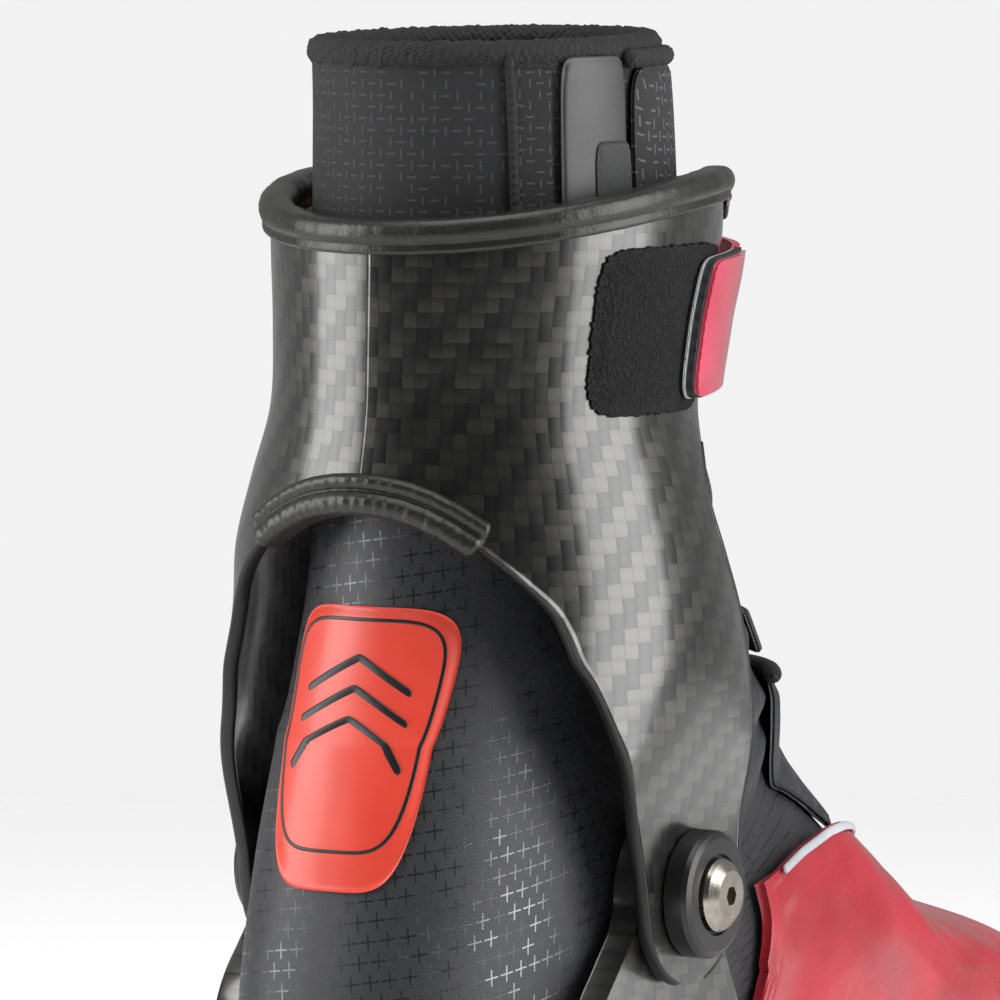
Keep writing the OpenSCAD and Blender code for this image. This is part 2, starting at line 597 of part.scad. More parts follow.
// The curve is mirrored in its angle, so pairs are turned to angle and key
function cover_at(s, f, off) =
    let (
        a = curve([for (p = COVER_IN) flip_pair(p)], abs(s)),
        b = curve([for (p = COVER_OUT) flip_pair(p)], abs(s)),
        c = [min(b[0], rand_w(b[1]) - edge_gap), b[1]],
        p = mix(a, c, f)
    )
    boot_at(p[1], s < 0 ? -p[0] : p[0], off);
function cover_grid(off, n, m) =
    [for (i = [-n:n]) [for (j = [0:m]) cover_at(i * (len(COVER_IN) - 1) / n, j / m, off)]];
module lace_cover() color([0.78, 0.16, 0.19]) place()
    slab(cover_grid(cover_off + cover_th, 20, 7), cover_grid(cover_off, 20, 7));
pipe_off = cover_off + cover_th + 1.7;            // middle of the piping above the bootie
module side_piping() color([0.75, 0.76, 0.78]) place() {
    n = 14;
    for (s = [-1, 1])
        bar([for (i = [0:n])
            let (
                q = 1.2 + i * 6.4 / n,
                a = cover_at(s * q, 0.03, pipe_off),
                t = unit(cover_at(s * (q + 0.1), 0.03, pipe_off)
                    - cover_at(s * (q - 0.1), 0.03, pipe_off)),
                o = cover_at(s * q, 0.03, pipe_off + 1) - a,
                u = unit(o - (o * t) * t),
                v = cross(t, u)
            )
            [for (j = [0:7]) a + 0.9 * (cos(j * 45) * u + sin(j * 45) * v)]]);
}
TOE_KEYS = [-fore + 1, -fore + 4, -fore + 12, -fore * 0.75];
function toe_rows(off) =
    [for (k = TOE_KEYS) let (w = min(117, rand_w(k) - edge_gap))
        [for (j = [-13:13]) boot_at(k, j * w / 13, off)]];
module toe_cap() color([0.13, 0.13, 0.14]) place() slab(toe_rows(loose + 2), toe_rows(loose));
lace_r = 0.85;
lace_n = 5;
module lace() color([0.06, 0.06, 0.06]) place()
    boot_cord([for (i = [0:2 * lace_n])
        [mix(-fore * 0.6, -16, i / (2 * lace_n)), (i % 2 == 0 ? -1 : 1) * mix(30, 26, i / 10)]],
        loose + lace_r + 0.2, lace_r, 60, 8);
module lace_loops() color([0.1, 0.1, 0.1]) place()
    for (i = [0:lace_n - 1], s = [-1, 1]) {
        k = mix(-fore * 0.6, -16, (2 * i + (s < 0 ? 0 : 1)) / (2 * lace_n));
        boot_patch(k - 2.2, k + 2.2, s * 36, s * 50, 1, 3, loose, 1);
    }
module heel_badge() color([0.82, 0.2, 0.14]) place() {
    // Upright rounded badge on the back of the heel
    n = 10;
    rows = [for (i = [0:n]) let (
        f = i / n,
        k = mix(80.4, 90 + 27, f),
        h = 32 * pow(max(1 - pow(abs(2 * f - 1), 4), 0.12), 0.3) * mix(0.62, 1, pow(f, 0.8)))
        [k, h]];
    slab([for (r = rows) [for (j = [0:10]) boot_at(r[0], 180 + mix(-r[1], r[1], j / 10), loose + 0.7)]],
        [for (r = rows) [for (j = [0:10]) boot_at(r[0], 180 + mix(-r[1], r[1], j / 10), loose)]]);
}
module foot_tongue() color([0.15, 0.15, 0.16]) place()
    boot_patch(-fore * 0.55, 84, -24, 24, 14, 6, -pad_wall - loose - 2.5, 2.5);
module instep_flap() color([0.2, 0.2, 0.21]) place()
    boot_patch(16, 92, -45, 36, 9, 9, loose, 1.6);
module flap_binding() color([0.05, 0.05, 0.05]) place()
    boot_patch(92.4, 95.5, -45, 36, 1, 9, loose, 2);
module pull_loop() color([0.07, 0.07, 0.07]) place()
    boot_patch(97, 107, -36, -9, 3, 3, loose, 1.6);
inner_off = -pad_wall - seat;
// Half width of the bootie's inside at a key, a little above its floor
function floor_y(k, h) =
    let (s = row(BOOT, k), e = s[5], g = (s[1] - s[0]) / 2)
    (s[2] - pad_wall) * pow(1 - pow(1 - h / g, e), 1 / e);
function floor_at(x, t, h, in_set) =
    let (
        k = x > FX ? FX - x : atan2(FX - x, FZ - 24),
        s = row(BOOT, k),
        bottom = x > FX ? FZ - s[1] : FZ - s[1] * cos(k),
        w = floor_y(k, 9) - in_set
    )
    [x, s[3] + t * w, bottom + pad_wall + h];
function floor_rows(x0, x1, h, in_set) =
    [for (i = [0:12]) [for (j = [0:4]) floor_at(mix(x0, x1, i / 12), mix(-1, 1, j / 4), h, in_set)]];
board_h = 3.4;           // height of the board over the lowest point inside
board_th = 1.6;
module lasting_board() color([0.7, 0.66, 0.58]) place()
    slab(floor_rows(-47, toe_x - 29, board_h + board_th, 5), floor_rows(-47, toe_x - 29, board_h, 5));
module footbed() color([0.35, 0.37, 0.4]) place()
    slab(floor_rows(-47, toe_x - 29, board_h + board_th + 3.3, 4),
        floor_rows(-47, toe_x - 29, board_h + board_th + 0.3, 4));
module heel_counter() color([0.3, 0.3, 0.3]) place()
    boot_patch(63, 84, 126, 234, 5, 12, inner_off - 1.9, 1.2);

// ---- chassis and sole ----------------------------------------------------------------------
shell_off = 1;
// Height of the chassis's upper edge along the boot
RAND = [
    [-heel_back - 5, 62],
    [-50, 62],
    [-28, 64],
    [0, 66],
    [30, 58],
    [55, 42],
    [85, 34],
    [110, 31],
    [150, 29],
    [200, 30],
    [230, 32]
];
// Angle round the section at which the chassis ends, for a key in the fan or over the foot
function rand_w(k) =
    let (
        s = row(BOOT, k),
        m = (s[0] + s[1]) / 2,
        g = (s[1] - s[0]) / 2,
        x = k < 0 ? FX - k : FX - (FZ - 60) * tan(min(k, 69)),
        r = (FZ - herm(RAND, x, 1) - pz) / (k < 0 ? 1 : cos(k)),
        c = min(max((r - m) / g, -0.9), 0.9995),
        e = mix(s[4], s[5], 0.8)
    )
    acos(-power(c, e / 2));
CHASSIS_KEYS = [
    -fore + 1, -fore + 4, -fore + 12, -fore * 0.74, -fore * 0.54, -fore * 0.34, -fore * 0.15,
    0, 14, 28, 40, 50, 53, 56, 58, 60, 62.5, 65.5, 67
];
function chassis_grid(off, m) =
    [for (k = CHASSIS_KEYS) let (w = rand_w(k))
        [for (j = [0:m]) boot_at(k, mix(w, 360 - w, j / m), off)]];
module ear_outline() {
    translate([0, pivot_z]) circle(r = ear_r, $fn = 64);
    polygon([
        [-ear_r, pivot_z], [-ear_r - 1.5, pivot_z - 5], [-24, pivot_z - 12], [-31, pivot_z - 19],
        [-34, pivot_z - 26], [-34, pivot_z - 42], [29, pivot_z - 42], [26.5, pivot_z - 28],
        [21, pivot_z - 17], [ear_r + 1, pivot_z - 7], [ear_r, pivot_z]
    ]);
}
flange_r = 11;
flange_h = 1.6;
module carbon_chassis() color([0.1, 0.1, 0.11]) place() difference() {
    union() {
        slab(chassis_grid(shell_off + chassis_wall, 20), chassis_grid(shell_off, 20));
        for (s = [0, 1]) mirror([0, s, 0]) translate([0, -ear_in, 0]) rotate([90, 0, 0])
            linear_extrude(ear_th) ear_outline();
    }
    translate([0, 0, pivot_z]) rotate([90, 0, 0]) {
        cylinder(r = barrel_r + fit, h = 2 * ear_out + 10, center = true, $fn = 64);
        cylinder(r = flange_r + fit, h = 2 * (ear_in + flange_h), center = true, $fn = 64);
    }
}
// Outline of the sole between two places, with round corners
module sole_outline(x0, x1, w0, w1, r) {
    hull() {
        translate([x0 + r, w0 - r]) circle(r = r, $fn = 48);
        translate([x0 + r, -w0 + r]) circle(r = r, $fn = 48);
        translate([x1 - r, w1 - r]) circle(r = r, $fn = 48);
        translate([x1 - r, -w1 + r]) circle(r = r, $fn = 48);
    }
}
bar_x = toe_x - 22;
bar_z = 6.5;
pocket = 15;           // length of the pocket round the toe bar
pocket_w = 2 * groove_y - groove_w + 4;
module grooves(x0, x1)
    for (s = [-1, 1])
        translate([x0, s * groove_y - groove_w / 2, -1]) cube([x1 - x0, groove_w, groove_d + 1]);
module outsole_front() color([0.12, 0.12, 0.12]) place() difference() {
    linear_extrude(sole_front_th) {
        sole_outline(96, toe_x - 34, 43, 44.5, 8);
        sole_outline(toe_x - 70, toe_x, 43.5, 24, 17);
    }
    grooves(90, bar_x - pocket);
    translate([bar_x - pocket / 2, -pocket_w / 2, -1]) cube([pocket, pocket_w, bar_z + 5]);
    translate([bar_x, 0, bar_z]) rotate([90, 0, 0])
        cylinder(r = bar_r + 0.02, h = pocket_w + 12, center = true, $fn = 48);
}
module toe_bar() color([0.75, 0.75, 0.77]) place()
    translate([bar_x, 0, bar_z]) rotate([90, 0, 0])
        cylinder(r = bar_r, h = pocket_w + 11.6, center = true, $fn = 48);
module outsole_rear() color([0.12, 0.12, 0.12]) place() difference() {
    linear_extrude(sole_rear_th) hull() {
        translate([-heel_back + 30, 0]) circle(r = 30, $fn = 96);
        translate([-8, 31]) circle(r = 4, $fn = 48);
        translate([-8, -31]) circle(r = 4, $fn = 48);
    }
    grooves(-heel_back - 1, 0);
}

// ---- pivots --------------------------------------------------------------------------------
module both_pivots() for (s = [0, 1]) mirror([0, s, 0])
    translate([0, 0, pivot_z]) rotate([90, 0, 0]) children();
shank_r = 2.5;
arm_face = arm_out - spot;
washer_face = arm_face + fit + washer_h;
module pivot_spacers() color([0.85, 0.85, 0.82]) place() both_pivots()
    translate([0, 0, ear_out]) difference() {
        cylinder(r = washer_r, h = spacer_th, $fn = 64);
        translate([0, 0, -1]) cylinder(r = barrel_r + fit, h = 10, $fn = 64);
    }
module pivot_barrels() color([0.7, 0.7, 0.72]) place() both_pivots() difference() {
    union() {
        translate([0, 0, ear_in + 0.1]) cylinder(r = flange_r, h = flange_h - 0.1, $fn = 64);
        translate([0, 0, ear_in + 0.1]) cylinder(r = barrel_r, h = arm_face - ear_in - 0.1, $fn = 64);
    }
    translate([0, 0, ear_in - 1]) cylinder(r = shank_r + 0.02, h = 30, $fn = 48);
}
module pivot_washers() color([0.06, 0.06, 0.06]) place() both_pivots()
    translate([0, 0, arm_face + fit])
        rotate_extrude($fn = 96) polygon([
            [shank_r + 0.02, 0], [washer_r, 0], [washer_r, washer_h - 1.6],
            [washer_r - 0.5, washer_h - 0.6], [washer_r - 1.6, washer_h],
            [head_r + 0.8, washer_h], [head_r + 0.6, washer_h - 1],
            [shank_r + 0.02, washer_h - 1]
        ]);
module pivot_bolts() color([0.62, 0.6, 0.56]) place() both_pivots() difference() {
    union() {
        translate([0, 0, washer_face - 1]) rotate_extrude($fn = 96) polygon([
            [0, 0], [head_r, 0], [head_r, 1.6], [head_r - 0.5, 2.4],
            [head_r - 2.4, head_h + 1], [0, head_h + 1]
        ]);
        translate([0, 0, ear_in + 2]) cylinder(r = shank_r, h = washer_face - ear_in - 2.5, $fn = 48);
    }
    translate([0, 0, washer_face + head_h - 2.6]) cylinder(r = 2.1, h = 5, $fn = 6);
}

// ---- zip -----------------------------------------------------------------------------------
zip_len = 50;
zip_w = 6;
zip_th = 1.4;
ridge_a = boot_at(-fore * 0.15, 0, 0);
ridge_b = boot_at(-fore * 0.54, 0, 0);
zip_dir = unit(ridge_b - ridge_a);
zip_slope = atan2(-zip_dir[2], zip_dir[0]);
zip_lift = cover_off + cover_th + 0.1;
module on_ridge() translate(ridge_a) rotate([0, zip_slope, 0]) translate([0, -ridge_a[1], zip_lift])
    children();
module zip_chain() color([0.08, 0.08, 0.08]) place() on_ridge()
    translate([0, -zip_w / 2, 0]) cube([zip_len, zip_w, zip_th]);
module zip_slider() color([0.1, 0.1, 0.1]) place() on_ridge()
    translate([1.5, 0, zip_th + seat]) {
        translate([0, -4.5, 0]) cube([10, 9, 1.4]);
        for (s = [-1, 1]) translate([3, s * 2.6 - 0.6, 1.2]) cube([4, 1.2, 2.6]);
        translate([5, 0, 2.9]) rotate([90, 0, 0]) cylinder(r = 0.6, h = 5.2, center = true, $fn = 32);
    }
module zip_pull() color([0.8, 0.18, 0.2]) place() on_ridge()
    translate([6.5, 0, zip_th + seat + 2.9]) difference() {
        union() {
            rotate([90, 0, 0]) cylinder(r = 1.3, h = 3.4, center = true, $fn = 32);
            translate([0.3, -1.7, -1.2]) cube([6, 3.4, 1.5]);
            translate([5.8, -3.2, -1.2]) cube([15, 6.4, 1.5]);
        }
        rotate([90, 0, 0]) cylinder(r = 0.65, h = 6, center = true, $fn = 32);
        translate([16, 0, -2]) cylinder(r = 1.4, h = 4, $fn = 32);
    }

outsole_front();
outsole_rear();
toe_bar();
carbon_chassis();
lasting_board();
footbed();
heel_counter();
bootie_vamp();
bootie_quarter();
toe_cap();
lace_cover();
zip_chain();
lace();
lace_loops();
heel_badge();
side_piping();
instep_flap();
flap_binding();
pull_loop();
foot_tongue();
pivot_bolts();
pivot_washers();
pivot_barrels();
pivot_spacers();
cuff_shell();
rim_trim();
arch_trim();
loop_pad();
liner_collar();
collar_binding();
collar_piping();
collar_flap();
flap_webbing();
front_panel();
panel_binding();
strap_anchor();
strap_rivets();
strap_band();
strap_corner();
strap_tip();
strap_face();
hook_pad();
zip_slider();
zip_pull();
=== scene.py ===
"""A right skate boot for cross-country skiing: carbon cuff, carbon chassis and soft bootie."""
import logging
import math
from dataclasses import dataclass
from enum import Enum
from typing import Any, Callable, Sequence

import bpy
import numpy as np
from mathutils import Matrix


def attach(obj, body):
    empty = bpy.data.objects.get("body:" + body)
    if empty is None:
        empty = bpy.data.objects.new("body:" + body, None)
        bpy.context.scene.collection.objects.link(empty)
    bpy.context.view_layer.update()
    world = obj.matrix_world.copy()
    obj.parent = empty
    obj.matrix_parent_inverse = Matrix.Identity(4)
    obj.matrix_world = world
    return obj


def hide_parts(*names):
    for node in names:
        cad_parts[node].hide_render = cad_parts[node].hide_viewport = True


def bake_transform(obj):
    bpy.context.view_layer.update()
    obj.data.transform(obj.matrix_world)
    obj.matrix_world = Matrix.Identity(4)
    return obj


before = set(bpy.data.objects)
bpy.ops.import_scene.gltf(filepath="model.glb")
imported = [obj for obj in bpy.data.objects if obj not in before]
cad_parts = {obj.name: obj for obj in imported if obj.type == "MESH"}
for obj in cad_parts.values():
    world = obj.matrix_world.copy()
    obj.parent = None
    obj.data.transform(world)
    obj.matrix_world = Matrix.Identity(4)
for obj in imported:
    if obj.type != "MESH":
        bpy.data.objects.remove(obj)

LOG = logging.getLogger("boot")
MM = 0.001
PIVOT_X = -72.5          # the ankle pivot's place along the boot, in millimetres
PIVOT_Z = 97.0
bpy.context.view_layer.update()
Array = np.ndarray


class Body(Enum):
    """The moving bodies that new pieces ride on."""

    BOOT = "boot"
    CUFF = "cuff"
    STRAP = "strap"
    STRAP_END = "strap_end"


# ---- curves and tables ---------------------------------------------------------------------


class Table:
    """Rows of numbers read smoothly: a cubic between rows, with slopes from their neighbours."""

    def __init__(self, rows: Sequence[Sequence[float]]) -> None:
        """Keep the keys (first column), the values, and the slope at each row."""
        data = np.array(rows, float)
        self.keys, self.values = data[:, 0], data[:, 1:]
        index = np.arange(len(data))
        low, high = np.maximum(index - 1, 0), np.minimum(index + 1, len(data) - 1)
        gap = (self.keys[high] - self.keys[low])[:, None]
        self.slopes = (self.values[high] - self.values[low]) / gap

    def at(self, key: Array) -> Array:
        """Values at each key.

        Args:
            key: Keys, of any shape.

        Returns:
            The values, with one more axis for the columns.
        """
        key = np.asarray(key, float)
        i = np.clip(np.searchsorted(self.keys, key, side="right") - 1, 0, len(self.keys) - 2)
        h = self.keys[i + 1] - self.keys[i]
        x = np.clip((key - self.keys[i]) / h, 0, 1)[..., None]
        h = h[..., None]
        return (
            (2 * x**3 - 3 * x**2 + 1) * self.values[i]
            + (x**3 - 2 * x**2 + x) * h * self.slopes[i]
            + (3 * x**2 - 2 * x**3) * self.values[i + 1]
            + (x**3 - x**2) * h * self.slopes[i + 1]
        )


class Spline:
    """A smooth curve through points, one unit of its parameter apart (Catmull-Rom)."""

    def __init__(self, points: Sequence[Sequence[float]], mirrored: bool = False) -> None:
        """Keep the points with one more before and after.

        Args:
            points: The points in order.
            mirrored: The curve goes on across its first point with the first coordinate reversed.
        """
        p = np.array(points, float)
        sign = np.ones(p.shape[1])
        sign[0] = -1
        before = p[1] * sign if mirrored else 2 * p[0] - p[1]
        self.points = np.vstack([before, p, 2 * p[-1] - p[-2]])
        self.last = len(p) - 1

    def at(self, s: Array) -> Array:
        """Points at parameters s, from 0 to the number of spans."""
        s = np.asarray(s, float)
        i = np.clip(np.floor(s).astype(int), 0, self.last - 1)
        t = (s - i)[..., None]
        a, b, c, d = (self.points[i + n] for n in range(4))
        return 0.5 * (
            2 * b + (c - a) * t + (2 * a - 5 * b + 4 * c - d) * t**2
            + (3 * b - a - 3 * c + d) * t**3
        )


def unit(v: Array) -> Array:
    """Vectors of length 1."""
    return v / np.maximum(np.linalg.norm(v, axis=-1, keepdims=True), 1e-9)


def power(v: Array, e: Array) -> Array:
    """A power that keeps the sign."""
    return np.sign(v) * np.abs(v) ** e


def mix(a: Any, b: Any, f: Any) -> Any:
    """From a to b by the fraction f."""
    return a + (b - a) * f


def smooth(a: float, b: float, x: Array) -> Array:
    """0 below a, 1 above b, and a smooth rise between."""
    t = np.clip((x - a) / (b - a), 0, 1)
    return t * t * (3 - 2 * t)


def ripple(a: Array, b: Array, seed: float = 0.0) -> Array:
    """An uneven surface from -1 to 1: the mean of five crossed waves of unlike lengths."""
    waves = [(1.0, 0.31, 0.2), (-0.63, 0.97, 1.7), (1.71, -1.13, 4.1), (0.37, 2.03, 2.9),
             (2.41, 1.57, 5.3)]
    return sum(np.sin(p * a + q * b + r + seed * i)
               for i, (p, q, r) in enumerate(waves, 1)) / 3.4


def rounded(a: Array, b: Array, n: float) -> tuple[Array, Array]:
    """A square grid from -1 to 1 drawn in at its corners to a superellipse of exponent n."""
    m = np.maximum(np.abs(a), np.abs(b))
    t = np.where(m > 0, m / np.maximum((np.abs(a) ** n + np.abs(b) ** n) ** (1 / n), 1e-9), 1)
    return a * t, b * t


def grid(a: Array, b: Array) -> tuple[Array, Array]:
    """Two lists of parameters as a grid, the first down the rows."""
    return np.meshgrid(a, b, indexing="ij")


def arc(points: Array, axis: int) -> Array:
    """Distance travelled along one axis of a grid of points."""
    step = np.linalg.norm(np.diff(points, axis=axis), axis=-1)
    pad = [(0, 0), (0, 0)]
    pad[axis] = (1, 0)
    return np.pad(np.cumsum(step, axis=axis), pad)


# ---- closed meshes -------------------------------------------------------------------------


@dataclass
class Skin:
    """A closed mesh in the boot's millimetres, with the cloth's millimetres at each face corner."""

    points: Array
    faces: list[list[int]]
    corners: Array

    def outward(self) -> "Skin":
        """The same mesh with its faces turned outwards, which its signed volume tells."""
        p = self.points
        quads = np.array([f[:4] if len(f) >= 4 else f + f[-1:] for f in self.faces])
        a, b, c, d = (p[quads[:, n]] for n in range(4))
        volume = np.einsum("ij,ij->i", a, np.cross(b, c)) + np.einsum("ij,ij->i", a, np.cross(c, d))
        if volume.sum() >= 0:
            return self
        lengths = np.array([len(f) for f in self.faces])
        starts = np.concatenate([[0], np.cumsum(lengths)[:-1]])
        order = np.concatenate([np.arange(s + n - 1, s - 1, -1) for s, n in zip(starts, lengths)])
        return Skin(p, [f[::-1] for f in self.faces], self.corners[order])


def patch_skin(top: Array, under: Array, uv: Array | None = None) -> Skin:
    """A wall between two grids of points, closed along its four edges."""
    n, m = top.shape[:2]
    if uv is None:
        uv = cloth_map(top)
    index = np.arange(n * m).reshape(n, m)
    a, b, c, d = index[:-1, :-1], index[1:, :-1], index[1:, 1:], index[:-1, 1:]
    face = np.stack([a, b, c, d], -1).reshape(-1, 4)
    rim = np.concatenate([index[0, :], index[1:, -1], index[-1, -2::-1], index[-2:0:-1, 0]])
    after = np.roll(rim, -1)
    side = np.stack([after, rim, rim + n * m, after + n * m], -1)
    faces = np.concatenate([face, face[:, ::-1] + n * m, side])
    flat = np.concatenate([uv.reshape(-1, 2)] * 2)
    points = np.concatenate([top.reshape(-1, 3), under.reshape(-1, 3)])
    return Skin(points, faces.tolist(), flat[faces.ravel()]).outward()


def tube_skin(rings: Array, uv: Array | None = None) -> Skin:
    """Rings of points joined into a tube, with a face over each end."""
    n, m = rings.shape[:2]
    index = np.arange(n * m).reshape(n, m)
    nxt = np.roll(index, -1, axis=1)
    faces = np.stack([index[:-1], index[1:], nxt[1:], nxt[:-1]], -1).reshape(-1, 4)
    if uv is None:
        closed = np.concatenate([rings, rings[:, :1]], axis=1)
        uv = np.stack([arc(closed, 1), arc(closed, 0)], -1)
    a, b = uv[:-1, :-1], uv[1:, :-1]
    corners = np.stack([a, b, uv[1:, 1:], uv[:-1, 1:]], 2).reshape(-1, 2)
    ends = [index[0, ::-1].tolist(), index[-1].tolist()]
    caps = np.concatenate([uv[0, :m][::-1], uv[-1, :m]])
    corners = np.concatenate([corners, caps])
    return Skin(rings.reshape(-1, 3), faces.tolist() + ends, corners).outward()


def loop_skin(rings: Array) -> Skin:
    """Rings of points joined both ways round, as a torus is."""
    n, m = rings.shape[:2]
    index = np.arange(n * m).reshape(n, m)
    right, below = np.roll(index, -1, axis=1), np.roll(index, -1, axis=0)
    faces = np.stack([index, below, np.roll(below, -1, axis=1), right], -1).reshape(-1, 4)
    closed = np.concatenate([rings, rings[:1]], axis=0)
    closed = np.concatenate([closed, closed[:, :1]], axis=1)
    uv = np.stack([arc(closed, 1), arc(closed, 0)], -1)
    corners = np.stack([uv[:-1, :-1], uv[1:, :-1], uv[1:, 1:], uv[:-1, 1:]], 2).reshape(-1, 2)
    return Skin(rings.reshape(-1, 3), faces.tolist(), corners).outward()


def prism_skin(outline: Array, y0: float, y1: float) -> Skin:
    """An outline in X and Z carried from y0 to y1."""
    m = len(outline)
    rings = np.stack([np.insert(outline, 1, y, axis=1) for y in (y0, y1)])
    index = np.arange(2 * m).reshape(2, m)
    nxt = np.roll(index, -1, axis=1)
    faces = np.stack([index[0], index[1], nxt[1], nxt[0]], -1).tolist()
    faces += [index[0, ::-1].tolist(), index[1].tolist()]
    flat = rings.reshape(-1, 3)
    order = np.concatenate([np.array(f) for f in faces])
    return Skin(flat, faces, flat[order][:, [0, 2]]).outward()


def joined(skins: Sequence[Skin]) -> Skin:
    """Several closed meshes as one."""
    faces, start = [], 0
    for s in skins:
        faces += [[i + start for i in f] for f in s.faces]
        start += len(s.points)
    return Skin(np.concatenate([s.points for s in skins]), faces,
                np.concatenate([s.corners for s in skins]))


def cloth_map(points: Array) -> Array:
    """Millimetres along the cloth at each point of a grid: across its rows and down its columns."""
    across, down = arc(points, 1), arc(points, 0)
    middle = across[:, across.shape[1] // 2][:, None]
    return np.stack([across - middle, down], -1)


def cord_rings(path: Array, out: Array, radius: float, sides: int = 12,
               flat: float = 1.0) -> Array:
    """Circles carried along a path, with round ends.

    Args:
        path: Points of the middle line.
        out: A direction away from the surface at each point.
        radius: The circle's radius.
        sides: Points round each circle.
        flat: How flat the section is, as height over width.

    Returns:
        One ring of points for each point of the path, and more at both ends.
    """
    t = unit(np.gradient(path, axis=0))
    a = unit(out - (out * t).sum(-1, keepdims=True) * t)
    b = np.cross(t, a)
    turn = np.linspace(0, 2 * math.pi, sides, endpoint=False)
    section = (flat * np.cos(turn)[None, :, None] * a[:, None]
               + np.sin(turn)[None, :, None] * b[:, None]) * radius
    return with_round_ends(path[:, None] + section, radius)


def with_round_ends(rings: Array, reach: float) -> Array:
    """Rings with four more beyond each end, which shrink along a quarter circle."""
    angles = np.radians([22, 45, 67, 84])
    parts = []
    for end, step in ((0, -1), (-1, 1)):
        middle = rings[end].mean(0)
        neighbour = rings[1 if end == 0 else -2].mean(0)
        way = unit(middle - neighbour)
        extra = [middle + (rings[end] - middle) * math.cos(a) + way * reach * math.sin(a)
                 for a in angles]
        parts.append(np.array(extra[::step]))
    return np.concatenate([parts[0], rings, parts[1]])


# ---- the boot's own surfaces ---------------------------------------------------------------


